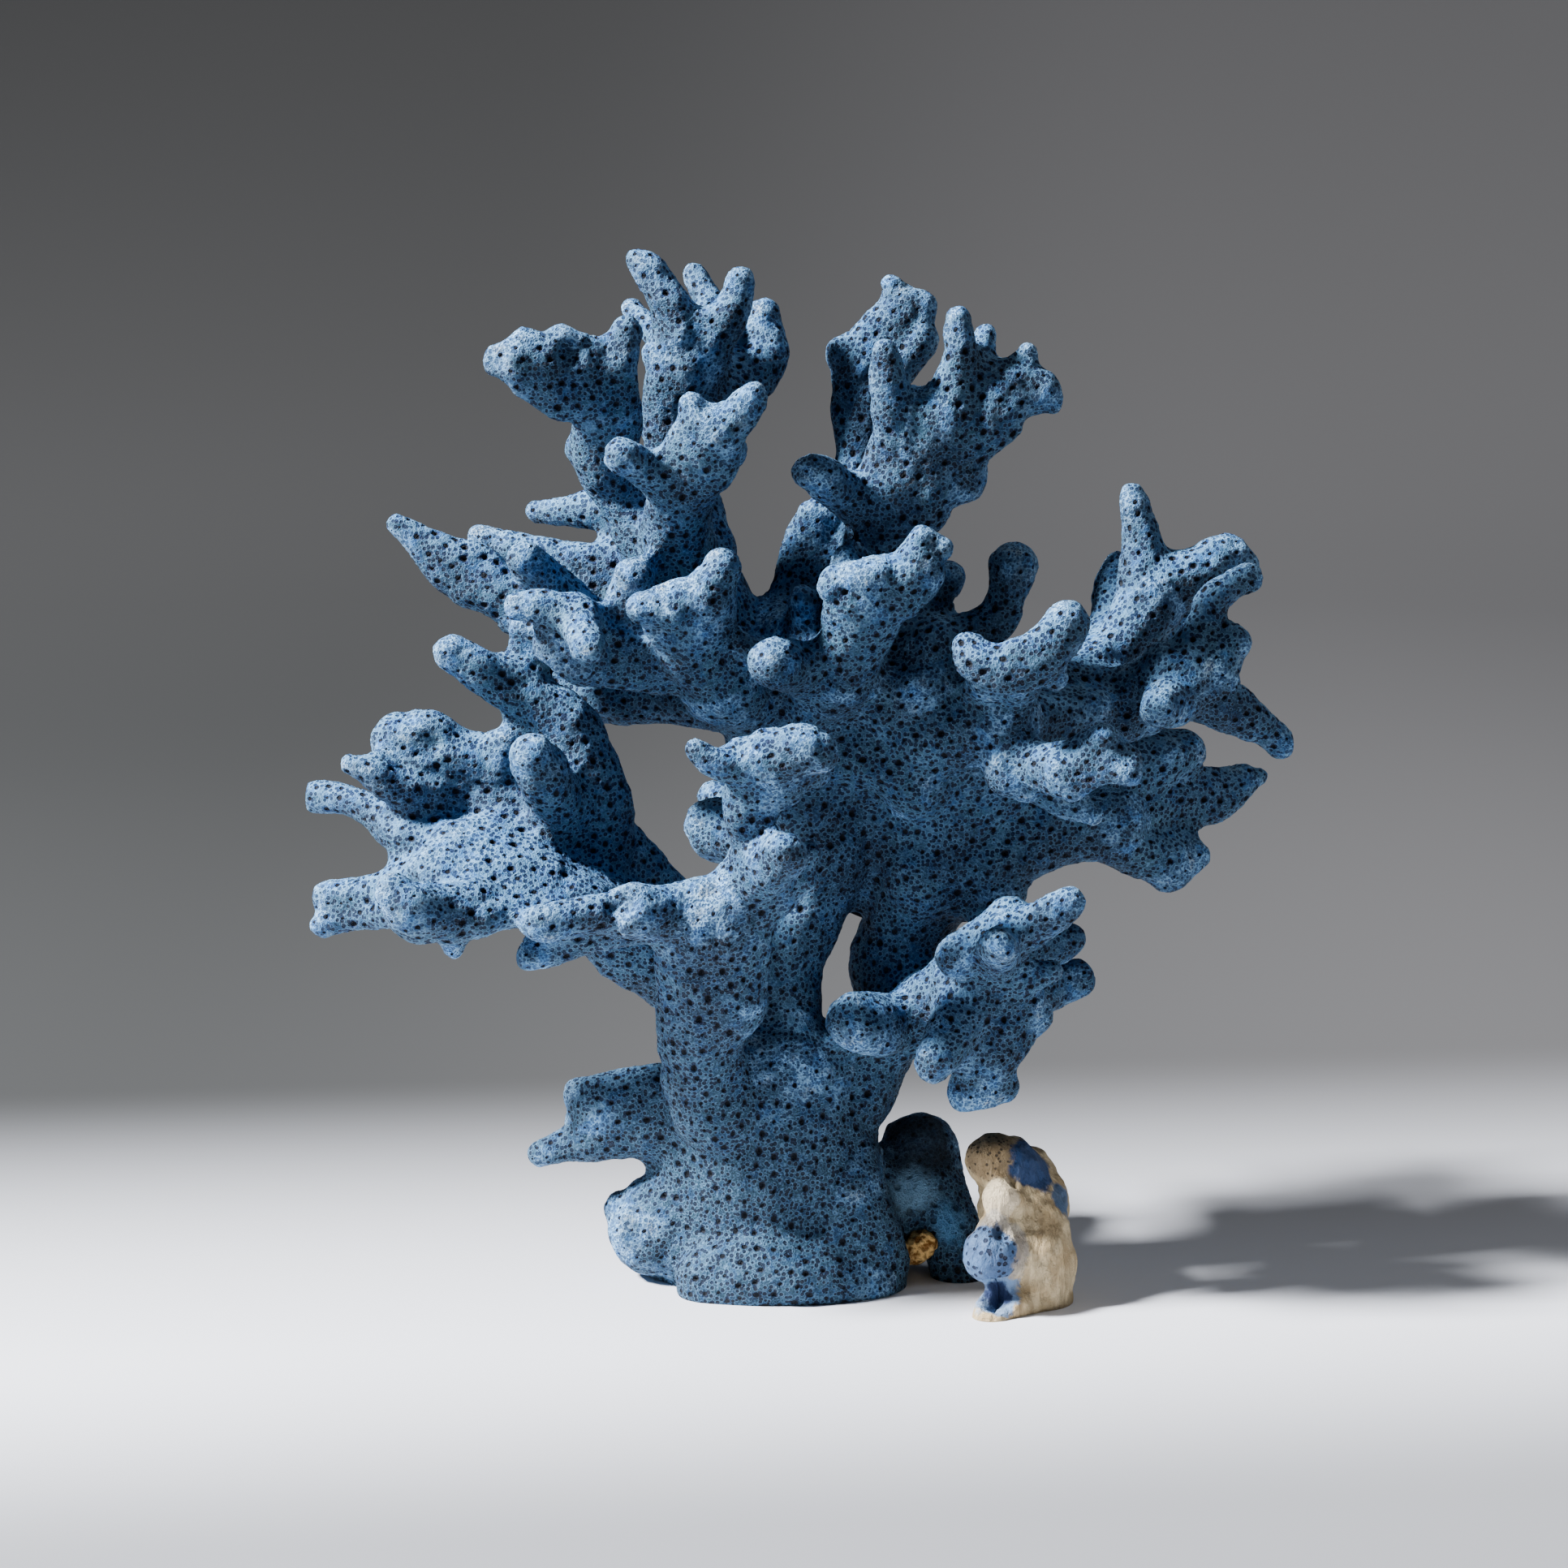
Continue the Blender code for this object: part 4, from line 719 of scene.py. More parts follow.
def limb_samples(branches):
    """Points along every limb's middle.

    Rows of x, y, z, radius and direction, then the branch's number, the distance left to the limb's end and
    the limb's number.
    """
    rows, owner, left, limbs = [], [], [], []
    for number, branch in enumerate(branches):
        for stations, _ in BRANCHES[branch].values():
            path = drawn_out(stations)
            steps = np.linalg.norm(np.diff(path[:, :3], axis=0), axis=1)
            along = unit(np.gradient(path[:, :3], axis=0))
            limbs.append(np.full(len(path), len(limbs)))
            owner.append(np.full(len(path), number))
            rows.append(np.column_stack([path[:, :3], path[:, 3:].mean(axis=1), along]))
            left.append(np.concatenate([np.cumsum(steps[::-1])[::-1], [0]]) + path[-1, 3:].min())
    return np.vstack(rows), np.concatenate(owner), np.concatenate(left), np.concatenate(limbs)


def belongs_to(points, samples):
    """For each point, in chunks, the sample whose surface is nearest: the least distance less radius."""
    best = np.empty(len(points), np.int64)
    centre, radius = samples[:, :3].astype(np.float32), samples[:, 3].astype(np.float32)
    size = 20000
    for start in range(0, len(points), size):
        chunk = points[start:start + size].astype(np.float32)
        gap = (chunk**2).sum(1)[:, None] - 2 * chunk @ centre.T + (centre**2).sum(1)
        best[start:start + size] = (np.sqrt(np.maximum(gap, 0)) - radius).argmin(axis=1)
    return best


def smooth_step(low, high, value):
    """0 below low, 1 above high and eased between; low may be the larger."""
    t = np.clip((value - low) / (high - low), 0, 1)
    return t * t * (3 - 2 * t)


def cups_at(points, cups):
    """How deep the points lie in round cups, each (u, v, d, reach, depth).

    A cup is flat near its middle: depth * (1 - smooth step from CUP_FLOOR * reach to the reach).
    """
    deep = np.zeros(len(points))
    for u, v, d, reach, depth in cups:
        away = np.linalg.norm(points - place(u, v, d)[0], axis=1)
        deep += depth * (1 - smooth_step(CUP_FLOOR * reach, reach, away))
    return deep


def add_values(mesh, name, values):
    """Stores one number, or three, for each point."""
    values = np.asarray(values, np.float32)
    kind, field = ("FLOAT", "value") if values.ndim == 1 else ("FLOAT_VECTOR", "vector")
    mesh.attributes.new(name, kind, "POINT").data.foreach_set(field, values.ravel())


def pore_offsets(field, points, along, radii):
    """Each point's nearest pore, and its way from that pore's middle as a share of the pore's radius.

    Pores are PORE_STRETCH as wide as they are long.
    """
    which = field.nearest(points)
    gap = points - field.centres[which]
    lean = along[which]
    gap = gap - lean * ((gap * lean).sum(axis=1) * (1 - PORE_STRETCH))[:, None]
    return which, gap / radii[which, None]


def chance_between(low, high, count, power, seed):
    """Numbers from low to high, the higher ones rarer: low + (high - low) * draw ** power."""
    return low + (high - low) * np.random.default_rng(seed).random(count) ** power


def kept_inside(points, low, high):
    """The points with what comes within WALL_MARGIN of the box's walls eased back inside.

    The formula is wall - margin * exp(-way past the margin's edge / margin).
    """
    over = np.maximum(points - (high - WALL_MARGIN), 0)
    points = np.where(over > 0, high - WALL_MARGIN * np.exp(-over / WALL_MARGIN), points)
    under = np.maximum(low + WALL_MARGIN - points, 0)
    return np.where(under > 0, low + WALL_MARGIN * np.exp(-under / WALL_MARGIN), points)


def coral_skin():
    """The colony's whole skin with its lumps and pores.

    Gives the object, each point's values for the material, its owner, and the samples of the limbs' middles.
    A point moves along its normal by the lumps' height less the cups' depth. Then it sinks by PORE_DEPTH *
    radius / largest radius * (1 - smooth step across the pore's wall), and it rises by RIM_HEIGHT *
    PORE_DEPTH * smooth step up the rim * (1 - smooth step down the rim).
    """
    obj = grown_together("colony", CORAL, FORK_FILLET, FUSE_GRID, SKIN_GRID)
    stand_out = roundness(obj)
    points, normals = points_of(obj.data)
    samples, owner, left, limb_number = limb_samples(CORAL)
    near = belongs_to(points, samples)
    tip = 1 - smooth_step(0, TIP_REACH, left[near] - np.maximum(samples[near, 3] - SLIM_RADIUS, 0))
    off_floor = smooth_step(0, CUT_HEIGHT, points[:, 2])
    lumps = lumps_at(points, CORAL_LUMPS, LUMP_SEED)
    lumps += (TIP_SWELL + lumps_at(points, TIP_LUMPS, TIP_SEED)) * tip - cups_at(points, CORAL_CUPS)
    points = points + normals * (lumps * off_floor)[:, None]
    low, high = (np.array(corner) / MM for corner in cad_box)
    points[:, 0] = kept_inside(points[:, 0], low[0], high[0])
    points[:, 1] = kept_inside(points[:, 1], low[1], high[1])
    far_below = low[2] - 10 * WALL_MARGIN
    points[:, 2] = np.maximum(kept_inside(points[:, 2], far_below, high[2]), 0)
    move_points(obj.data, points)
    points, normals = points_of(obj.data)
    field = PoreField(points, PORE_SPACING, PORE_SEED)
    radii = chance_between(*PORE_RADII, len(field.centres), WIDE_POWER, RADIUS_SEED)
    radii = radii * (1 - TIP_NARROWING * tip[field.index])
    which, offset = pore_offsets(field, points, samples[near[field.index], 4:], radii)
    share = np.linalg.norm(offset, axis=1)
    sunk = PORE_DEPTH * radii[which] / PORE_RADII[1] * (1 - smooth_step(*PORE_WALL, share))
    up, down = smooth_step(*PORE_RIM[:2], share), smooth_step(*PORE_RIM[1:], share)
    rim = RIM_HEIGHT * PORE_DEPTH * up * (1 - down)
    move_points(obj.data, points - normals * ((sunk - rim) * off_floor)[:, None])
    values = {"tip": tip, "stand_out": stand_out, "pore_offset": offset, "pore_share": share}
    return obj, values, owner[near], samples, owner, limb_number


def rim_of(faces):
    """The edges that only one of the triangles has, each in that triangle's direction."""
    edges = np.concatenate([faces[:, [0, 1]], faces[:, [1, 2]], faces[:, [2, 0]]])
    key = np.sort(edges, axis=1)
    key = key[:, 0] * (faces.max() + 1) + key[:, 1]
    _, back, count = np.unique(key, return_inverse=True, return_counts=True)
    return edges[count[back] == 1]


def loop_numbers(edges, count):
    """For each point, the lowest number among the points that the edges join it to."""
    label = np.arange(count)
    while True:
        least = label.copy()
        np.minimum.at(least, edges[:, 0], label[edges[:, 1]])
        np.minimum.at(least, edges[:, 1], label[edges[:, 0]])
        if (least == label).all():
            return label
        label = least


def steps_between(first, last):
    """Every walk from first to last in steps of one: the walk's own number, and each step's start and end."""
    count = np.abs(last - first)
    walk = np.repeat(np.arange(len(first)), count)
    done = np.arange(count.sum()) - np.repeat(np.cumsum(count) - count, count)
    way = np.sign(last - first)[walk]
    start = first[walk] + way * done
    return walk, start, start + way


def closing_strips(faces, points, normals, samples, limb_number):
    """Triangles that close the faces' open rims inside the coral, and their new points, kept off the floor.

    Each rim point is joined to one straight below it in the skin, point - RIM_INSET * normal, and that one
    to the middle of the limb it lies on, along the limb between one rim point and the next. What then stays
    open, where a rim goes from limb to limb, is closed with a fan.
    """
    rim = rim_of(faces)
    used, back = np.unique(rim, return_inverse=True)
    back = back.reshape(-1, 2)
    ring = points[used] - RIM_INSET * normals[used]
    new = np.vstack([ring, samples[:, :3]])
    new[:, 2] = np.maximum(new[:, 2], STRIP_LOWEST)
    one, other = rim.T
    under_one, under_other = len(points) + back.T
    inner_one, inner_other = belongs_to(points[used], samples)[back].T
    leap = limb_number[inner_one] != limb_number[inner_other]
    walk, start, end = steps_between(inner_one, np.where(leap, inner_one, inner_other))
    start = np.concatenate([start, inner_one[leap]])
    end = np.concatenate([end, inner_other[leap]])
    at = np.concatenate([under_other[walk], under_other[leap]])
    count = len(points) + len(used)
    strips = [
        np.column_stack([other, one, under_one]),
        np.column_stack([other, under_one, under_other]),
        np.column_stack([under_other, under_one, count + inner_one]),
        np.column_stack([at, count + start, count + end]),
    ]
    ends = np.sort(np.column_stack([start, end]), axis=1)
    ends, back = np.unique(ends, axis=0, return_inverse=True)
    net = np.zeros(len(ends), int)
    np.add.at(net, back.ravel(), np.where(start < end, 1, -1))
    ends = np.where(net[:, None] > 0, ends, ends[:, ::-1])
    ends = np.repeat(ends, np.abs(net), axis=0)
    if len(ends):
        top = loop_numbers(ends, len(samples))[ends[:, 0]]
        away = (ends != top[:, None]).all(axis=1)
        strips.append(count + np.column_stack([ends[:, 1], ends[:, 0], top])[away])
    return new, np.vstack(strips)


def parted(obj, values, owner, samples, sample_owner, limb_number, names):
    """A closed object for each name, of the triangles whose first point it owns, shaded as the whole skin."""
    mesh = obj.data
    points, normals = points_of(mesh)
    mesh.calc_loop_triangles()
    triangles = np.empty(len(mesh.loop_triangles) * 3, np.int32)
    mesh.loop_triangles.foreach_get("vertices", triangles)
    triangles = triangles.reshape(-1, 3)
    face_owner = owner[triangles[:, 0]]
    pieces = []
    for number, name in enumerate(names):
        own = triangles[face_owner == number]
        used, own = np.unique(own, return_inverse=True)
        own = own.reshape(-1, 3)
        mine = sample_owner == number
        own_points, own_normals = points[used], normals[used]
        inner, strips = closing_strips(own, own_points, own_normals, samples[mine], limb_number[mine])
        piece = mesh_from(name + "_skin", np.vstack([own_points, inner]), np.vstack([own, strips]))
        piece.data.shade_smooth()
        for key, value in values.items():
            extra = np.zeros((len(inner), *value.shape[1:]))
            add_values(piece.data, key, np.concatenate([value[used], extra]))
        up = np.tile([0.0, 0.0, 1.0], (len(inner), 1))
        piece.data.normals_split_custom_set_from_vertices(np.vstack([own_normals, up]))
        pieces.append(piece)
    bpy.data.objects.remove(obj)
    return pieces


def srgb(code):
    """A hex colour as linear red, green, blue and alpha."""
    values = [int(code[i:i + 2], 16) / 255 for i in (1, 3, 5)]
    return (*(v / 12.92 if v <= 0.04045 else ((v + 0.055) / 1.055) ** 2.4 for v in values), 1.0)


def add_node(tree, kind, inputs=None, output=0, **settings):
    """Adds a node with its settings.

    Each input, by number or name, gets a socket's link, a hex colour or a plain value.
    """
    node = tree.nodes.new("ShaderNode" + kind)
    for name, value in settings.items():
        setattr(node, name, value)
    for key, value in (inputs or {}).items():
        if isinstance(value, bpy.types.NodeSocket):
            tree.links.new(value, node.inputs[key])
        else:
            node.inputs[key].default_value = srgb(value) if isinstance(value, str) else value
    return node.outputs[output]


EASED = {"interpolation_type": "SMOOTHSTEP"}
TIMES = {"data_type": "RGBA", "blend_type": "MULTIPLY"}


def new_material(name, roughness, level):
    material = bpy.data.materials.new(name)
    material.use_nodes = True
    shader = material.node_tree.nodes["Principled BSDF"]
    shader.inputs["Roughness"].default_value = roughness
    shader.inputs["Specular IOR Level"].default_value = level
    return material, material.node_tree, shader


def layered(tree, colour, layers):
    """The colour under a list of layers, each a mask, its strength and its own colour."""
    for mask, strength, own in layers:
        share = add_node(tree, "Math", {0: mask, 1: strength}, operation="MULTIPLY")
        colour = add_node(tree, "Mix", {0: share, 6: colour, 7: own}, 2, data_type="RGBA")
    return colour


def dress_with_relief(tree, shader, colour, mask, heights):
    """Gives the shader its colour, and the relief of the masks, each with its height in millimetres."""
    relief = 0.0
    for name, height in heights:
        relief = add_node(tree, "Math", {0: mask[name], 1: height, 2: relief}, operation="MULTIPLY_ADD")
    bump = add_node(tree, "Bump", {"Height": relief, "Distance": MM})
    tree.links.new(colour, shader.inputs["Base Color"])
    tree.links.new(bump, shader.inputs["Normal"])


def round_areas(tree, place_read, wavy, edge, areas):
    """Masks by name for round areas with wavy edges of that softness: 1 within the reach of their middles."""
    masks = {}
    for name, (u, v, d, reach) in areas.items():
        middle = tuple(place(u, v, d)[0] * MM)
        away = add_node(tree, "VectorMath", {0: place_read, 1: middle}, "Value", operation="DISTANCE")
        away = add_node(tree, "Math", {0: away, 1: 1 / MM, 2: wavy}, operation="MULTIPLY_ADD")
        masks[name] = add_node(tree, "MapRange", {0: away, 1: reach + edge, 2: reach - edge}, **EASED)
    return masks


def blue_coral():
    """Dry skeleton of blue coral: chalky, dull aragonite, blue right through, riddled with small tube mouths.

    The eye sees a pale net of walls round dark blue mouths of three sizes, bleached and dusty on tips and
    ledges. Painted light pales upward faces, ridge crests and the rims of small mouths, and painted shade
    darkens forks, large pores and the top of the small lobe.
    """
    material, tree, shader = new_material("Blue coral aragonite", 0.78, 0.32)
    spot = add_node(tree, "TexCoord", output="Object")
    value = {
        name: add_node(tree, "Attribute", output="Fac", attribute_name=name)
        for name in ("tip", "stand_out", "pore_share")
    }
    offset = add_node(tree, "Attribute", output="Vector", attribute_name="pore_offset")
    upward = add_node(tree, "SeparateXYZ", {0: add_node(tree, "NewGeometry", output="Normal")}, 2)
    height = add_node(tree, "SeparateXYZ", {0: spot}, 2)
    widths = (("broad", 15, 2.0), ("patch", 5, 4.0), ("stain", 10, 4.0), ("brown", 3, 3.0),
              ("ragged", 0.5, 1.0), ("grain", 0.3, 2.0))
    noise = {
        name: add_node(
            tree, "TexNoise", {"Vector": spot, "Scale": 1 / (width * MM), "Detail": detail, "Roughness": 0.58}
        )
        for name, width, detail in widths
    }

    # The share of a large pore's radius: exact near the pore, where the offset is smooth, with a ragged edge.
    ragged = add_node(tree, "Math", {0: noise["ragged"], 1: 0.34, 2: -0.17}, operation="MULTIPLY_ADD")
    exact = add_node(tree, "VectorMath", {0: offset}, "Value", operation="LENGTH")
    beyond = add_node(tree, "MapRange", {0: value["pore_share"], 1: 1.15, 2: 1.45})
    share = add_node(tree, "Mix", {0: beyond, 2: exact, 3: value["pore_share"]}, data_type="FLOAT")
    share = add_node(tree, "Math", {0: share, 1: ragged}, operation="ADD")
    cells = {"Vector": spot, "Scale": 1 / (PIT_CELL * MM), "Randomness": 0.7}
    pits = add_node(tree, "TexVoronoi", cells, "Distance")
    comb = add_node(tree, "TexVoronoi", {"Vector": spot, "Scale": 1 / (HONEYCOMB * MM)}, "Distance")

    bounds = {
        "pore": (share, 1.1, 0.8),
        "halo": (share, 1.9, 0.95),
        "pit": (pits, 0.46, 0.36),
        "pit_rim_highlight": (pits, 0.62, 0.46),
        "comb": (comb, 0.54, 0.4),
        "ridge": (value["stand_out"], 0.0, 1.5),
        "painted_fork_shade": (value["stand_out"], 0.0, -1.3),
        "dust_and_top_light": (upward, -0.1, 0.9),
        "foot": (height, 60 * MM, 18 * MM),
        "broad": (noise["broad"], 0.36, 0.64),
        "patch": (noise["patch"], 0.45, 0.7),
        "worn_and_ridge_light": (noise["patch"], 0.3, 0.6),
        "stain": (noise["stain"], 0.54, 0.7),
        "brown": (noise["brown"], 0.56, 0.68),
        "fresh": (noise["brown"], 0.52, 0.36),
        "grain": (noise["grain"], 0.4, 0.7),
    }
    mask = {
        name: add_node(tree, "MapRange", {0: source, 1: low, 2: high}, **EASED)
        for name, (source, low, high) in bounds.items()
    }
    wavy = add_node(tree, "Math", {0: noise["patch"], 1: 5.0, 2: -2.5}, operation="MULTIPLY_ADD")
    mask |= round_areas(tree, spot, wavy, CORAL_AREA_EDGE, CORAL_AREAS)
    tipped = add_node(tree, "Math", {0: mask["ridge"], 1: 0.14, 2: noise["patch"]}, operation="MULTIPLY_ADD")
    tipped = add_node(tree, "MapRange", {0: tipped, 1: 0.42, 2: 0.66}, **EASED)
    mask["bleach"] = add_node(tree, "Math", {0: value["tip"], 1: tipped}, operation="MULTIPLY")
    mask["tip_comb"] = mask["comb"]
    spared = add_node(tree, "Math", {0: mask["bleach"], 1: -0.5, 2: 1.0}, operation="MULTIPLY_ADD")
    within = {"tip_comb": mask["bleach"], "worn_and_ridge_light": mask["ridge"], "brown": mask["bleach"], "pit": spared}
    for name, region in within.items():
        mask[name] = add_node(tree, "Math", {0: mask[name], 1: region}, operation="MULTIPLY")

    walls = add_node(tree, "Mix", {0: mask["broad"], 6: "#0a283e", 7: "#2d556b"}, 2, data_type="RGBA")
    walls = layered(tree, walls, (
        (mask["patch"], 0.4, "#5585ab"),
        # Painted shade: walls darken in forks and hollows, where shade falls.
        (mask["painted_fork_shade"], 0.85, "#06162e"),
        (mask["stain"], 0.5, "#3d5e5c"),
        # Dust and painted light together: faces that point upward are paler, as if lit from above.
        (mask["dust_and_top_light"], 0.5, "#78b4e6"),
        (mask["foot"], 0.8, "#10303e"),
        # Wear and painted highlight together: paler patches on ridge crests.
        (mask["worn_and_ridge_light"], 0.55, "#96cbf6"),
        (mask["bleach"], 0.66, "#9acdf8"),
        (mask["brown"], 0.5, "#a39474"),
        (mask["grain"], 0.2, "#83b8e8"),
    ))
    fresh = add_node(tree, "Mix", {0: 1.0, 6: walls, 7: "#80c0ea"}, 2, **TIMES)
    walls = layered(tree, walls, ((mask["fresh"], 0.75, fresh),))
    mouths = add_node(tree, "Mix", {0: 1.0, 6: walls, 7: "#3a70ac"}, 2, **TIMES)
    pit_floor = add_node(tree, "Mix", {0: 1.0, 6: walls, 7: "#144e74"}, 2, **TIMES)
    colour = layered(tree, walls, (
        (mask["comb"], 0.4, mouths),
        (mask["tip_comb"], 0.9, "#0a3262"),
        # Painted highlight: a pale ring round each small mouth.
        (mask["pit_rim_highlight"], 0.22, "#7fb2de"),
        (mask["pit"], 0.95, pit_floor),
        (mask["halo"], 0.6, mouths),
        # Painted shade: the inside of each large pore is near black.
        (mask["pore"], 0.98, "#020917"),
        # Painted shade on the top of the small lobe behind the lump.
        (mask["painted_shade_lobe"], 0.85, "#020c16"),
        (mask["bare_band"], 0.6, "#86b2d2"),
        (mask["bare_end"], 0.5, "#5e9cd0"),
    ))
    heights = (("pore", -0.3), ("pit", -0.26), ("comb", -0.08), ("grain", 0.08))
    dress_with_relief(tree, shader, colour, mask, heights)
    return material


def lime_crust():
    """Chalky lime laid down by worms and algae over blue coral.

    The eye sees dull cream and beige, streaked along its growth, and patches where the blue coral shows.
    """
    material, tree, shader = new_material("Lime crust", 0.72, 0.35)
    spot = add_node(tree, "TexCoord", output="Object")
    drawn_up = add_node(tree, "VectorMath", {0: spot, 1: (1.0, 1.0, 0.22)}, operation="MULTIPLY")
    widths = (("patch", spot, 5), ("streak", drawn_up, 1.6), ("edge", spot, 2.2), ("ragged", spot, 1.1),
              ("grain", spot, 0.4))
    noise = {
        name: add_node(
            tree, "TexNoise", {"Vector": vector, "Scale": 1 / (width * MM), "Detail": 5.0, "Roughness": 0.6}
        )
        for name, vector, width in widths
    }
    cells = {"Vector": spot, "Scale": 1 / (CAP_HOLES * MM), "Randomness": 0.7}
    holes = add_node(tree, "TexVoronoi", cells, "Distance")
    holes = add_node(tree, "Math", {0: noise["ragged"], 1: 0.5, 2: holes}, operation="MULTIPLY_ADD")
    holes = add_node(tree, "Math", {0: holes, 1: 0.25}, operation="SUBTRACT")
    specks = add_node(tree, "TexVoronoi", {"Vector": spot, "Scale": 1 / (PIT_CELL * MM)}, "Distance")
    bounds = {
        "patch": (noise["patch"], 0.35, 0.65),
        "streak": (noise["streak"], 0.4, 0.62),
        "hole": (holes, 0.33, 0.24),
        "grime": (noise["edge"], 0.6, 0.72),
        "speck": (specks, 0.34, 0.2),
        "grain": (noise["grain"], 0.5, 0.75),
    }
    mask = {
        name: add_node(tree, "MapRange", {0: source, 1: low, 2: high}, **EASED)
        for name, (source, low, high) in bounds.items()
    }
    wavy = add_node(tree, "Math", {0: noise["edge"], 1: 4.0, 2: -2.0}, operation="MULTIPLY_ADD")
    mask |= round_areas(tree, spot, wavy, CRUST_AREA_EDGE, CRUST_AREAS)
    mask["cap_pale"] = mask["patch"]
    for name, area in (("hole", "cap"), ("cap_pale", "cap"), ("speck", "brown_head")):
        mask[name] = add_node(tree, "Math", {0: mask[name], 1: mask[area]}, operation="MULTIPLY")
    colour = add_node(tree, "Mix", {0: mask["patch"], 6: "#b09870", 7: "#d8c49c"}, 2, data_type="RGBA")
    colour = layered(tree, colour, (
        (mask["streak"], 0.5, "#7d6848"),
        (mask["grain"], 0.3, "#e6d6b4"),
        (mask["grime"], 0.4, "#6a5f4c"),
        (mask["brown_head"], 0.8, "#7c6749"),
        (mask["speck"], 0.85, "#2c231a"),
        (mask["blue_side"], 0.95, "#0f3e70"),
        (mask["blue_strip"], 0.85, "#275a86"),
        (mask["cream"], 0.85, "#e0ceae"),
        (mask["tinge"], 0.35, "#5c7896"),
        (mask["cap"], 0.9, "#27507e"),
        (mask["cap_pale"], 0.45, "#587fac"),
        (mask["hole"], 0.95, "#071430"),
        (mask["lip"], 0.85, "#6289b4"),
        # Painted shade inside the deepest dent.
        (mask["deep"], 0.97, "#0c2048"),
    ))
    heights = (("hole", -0.6), ("streak", -0.25), ("speck", -0.2), ("grain", 0.12))
    dress_with_relief(tree, shader, colour, mask, heights)
    return material


def coral_rubble():
    """Broken coral rock, stained orange brown by iron: the eye sees a matt, grainy crumb."""
    material, tree, shader = new_material("Coral rubble", 0.9, 0.25)
    spot = add_node(tree, "TexCoord", output="Object")
    patch = add_node(tree, "TexNoise", {"Vector": spot, "Scale": 1 / (1.2 * MM), "Detail": 5.0})
    stained = add_node(tree, "MapRange", {0: patch, 1: 0.38, 2: 0.62}, **EASED)
    colour = add_node(tree, "Mix", {0: stained, 6: "#7d4f1c", 7: "#f0c67e"}, 2, data_type="RGBA")
    dress_with_relief(tree, shader, colour, {"patch": patch}, (("patch", 1.2),))
    return material


def own_skin(name, fillet, grid, lumps, dents=()):
    """The skin of a loose piece: each point moves along its normal by the lumps less the dents."""
    obj = grown_together(name + "_skin", (name,), fillet, grid * FUSE_COARSER, grid)
    points, normals = points_of(obj.data)
    bumps = lumps_at(points, lumps, LOOSE_SEED)
    bumps -= cups_at(points, dents)
    off_floor = smooth_step(0, LOOSE_CUT_HEIGHT, points[:, 2])
    move_points(obj.data, points + normals * (bumps * off_floor)[:, None])
    obj.data.shade_smooth()
    return obj


def dress(piece, material, node):
    piece.data.materials.clear()
    piece.data.materials.append(material)
    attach(piece, "root")
    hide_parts(node)


def add_area(name, at, aim, side, power, spread):
    """A square lamp with sides of that many metres; its honeycomb grid keeps the light within the spread."""
    data = bpy.data.lights.new(name, "AREA")
    data.size = side
    data.energy = power
    data.spread = spread
    lamp = bpy.data.objects.new(name, data)
    lamp.location = at
    lamp.rotation_euler = (Vector(aim) - Vector(at)).to_track_quat("-Z", "Y").to_euler()
    bpy.context.scene.collection.objects.link(lamp)


def studio_paper():
    """Matt grey paper, paler where the photograph's lamps wash over it."""
    material, tree, shader = new_material("Matt studio paper", 0.9, 0.1)
    spot = add_node(tree, "TexCoord", output="Object")
    aslant = add_node(tree, "VectorMath", {0: spot, 1: (-0.14, 1, 0)}, "Value", operation="DOT_PRODUCT")
    sideways = add_node(tree, "SeparateXYZ", {0: spot})
    bounds = {
        "right": (sideways, -0.15, 0.2),
        "farthest": (aslant, 0.5, 1.2),
        "near": (aslant, 0.15, -0.045),
        "front": (aslant, -0.02, -0.12),
        "near_edge": (aslant, -0.15, -0.45),
    }
    mask = {
        name: add_node(tree, "MapRange", {0: source, 1: low, 2: high}, **EASED)
        for name, (source, low, high) in bounds.items()
    }
    colour = add_node(tree, "Mix", {0: mask["right"], 6: "#38393a", 7: "#575759"}, 2, data_type="RGBA")
    colour = layered(tree, colour, (
        (mask["farthest"], 0.25, "#7c7c7e"),
        (mask["near"], 1.0, "#e6e9f3"),
        (mask["front"], 1.0, "#8f9197"),
        (mask["near_edge"], 1.0, "#434446"),
    ))
    tree.links.new(colour, shader.inputs["Base Color"])
    return material


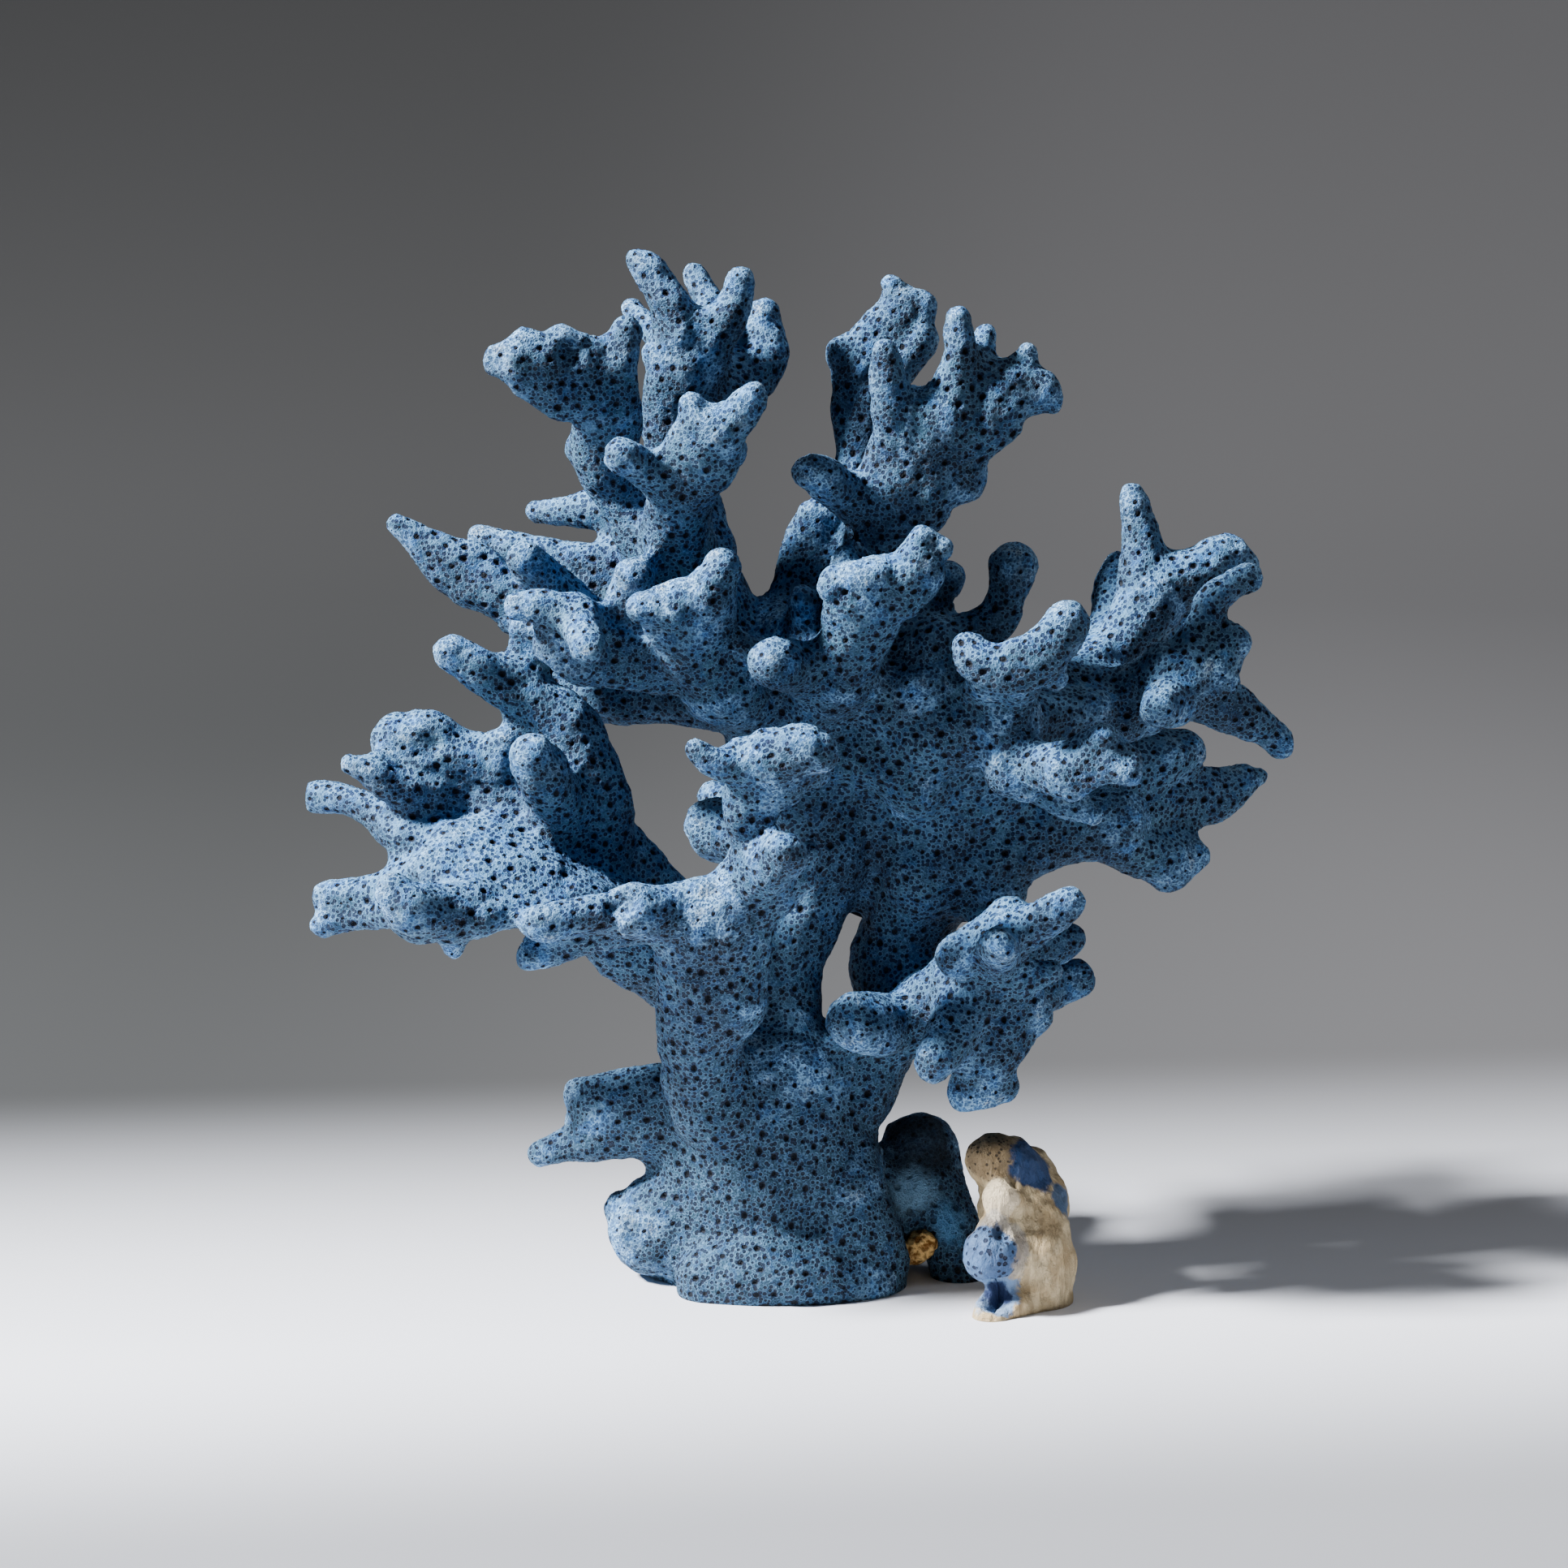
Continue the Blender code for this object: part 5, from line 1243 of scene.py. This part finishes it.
def paper_sweep():
    """A round floor that curves up far off.

    The radius is flat + (edge - flat) * sin(turn), and the height is rise * (1 - cos(turn)).
    """
    turn = np.linspace(0, math.pi / 2, SWEEP_ROWS)
    flat = np.linspace(0, SWEEP_FLAT, SWEEP_ROWS)[1:]
    radius = np.concatenate([flat, SWEEP_FLAT + (SWEEP_EDGE - SWEEP_FLAT) * np.sin(turn[1:])])
    height = np.concatenate([np.zeros(SWEEP_ROWS - 1), SWEEP_RISE * (1 - np.cos(turn[1:]))])
    angle = np.arange(SWEEP_SIDES) * 2 * math.pi / SWEEP_SIDES
    rise = np.repeat(height[:, None], SWEEP_SIDES, axis=1)
    across, along = np.multiply.outer(radius, np.cos(angle)), np.multiply.outer(radius, np.sin(angle))
    rings = np.stack([across, along, rise], axis=-1)
    here = 1 + np.arange(SWEEP_SIDES)
    hub = np.column_stack([np.zeros(SWEEP_SIDES, int), here, 1 + here % SWEEP_SIDES])
    quads = ring_quads(len(radius), SWEEP_SIDES, 1)[:, [0, 3, 2, 1]]
    floor = mesh_from("floor", np.vstack([[[0, 0, 0]], rings.reshape(-1, 3)]) / MM, hub, quads)
    floor.data.shade_smooth()
    floor.data.materials.append(studio_paper())
    return floor


def studio():
    """The paper, a key lamp high on the left, weak fill from in front and above, and the photo's camera."""
    paper_sweep()
    world = bpy.data.worlds.new("Studio")
    world.use_nodes = True
    background = world.node_tree.nodes["Background"]
    background.inputs["Color"].default_value = srgb("#cfd9ec")
    background.inputs["Strength"].default_value = 0.003
    bpy.context.scene.world = world
    add_area("key", (-1.15, -0.26, 1.06), (0, -0.03, 0.06), 0.2, 70, math.radians(130))
    add_area("front fill", (-0.1, -0.9, 0.3), (0, 0, 0.08), 0.5, 0.03, math.pi)
    add_area("top fill", (0.6, 0.3, 1.15), (0, 0, 0.08), 0.4, 3.0, math.pi)
    data = bpy.data.cameras.new("camera")
    camera = bpy.data.objects.new("camera", data)
    target = Vector((0, 0, VIEW_HEIGHT * MM))
    toward = Vector((0, -math.cos(VIEW_ELEVATION), math.sin(VIEW_ELEVATION)))
    camera.location = target + VIEW_DISTANCE * MM * toward
    camera.rotation_euler = (-toward).to_track_quat("-Z", "Y").to_euler()
    data.lens = LENS
    data.sensor_width = SENSOR
    data.clip_start = NEAREST_SEEN * MM
    bpy.context.scene.collection.objects.link(camera)
    bpy.context.scene.camera = camera


coral_material = blue_coral()
for skin, node in zip(parted(*coral_skin(), CORAL), CORAL):
    dress(skin, coral_material, node)
crust = own_skin("crusted_lump", fillet=0.8, grid=0.3, lumps=CRUST_LUMPS, dents=CRUST_DENTS)
dress(crust, lime_crust(), "crusted_lump")
crumb = own_skin("rubble_crumb", fillet=0.3, grid=0.2, lumps=CRUMB_LUMPS)
dress(crumb, coral_rubble(), "rubble_crumb")
studio()
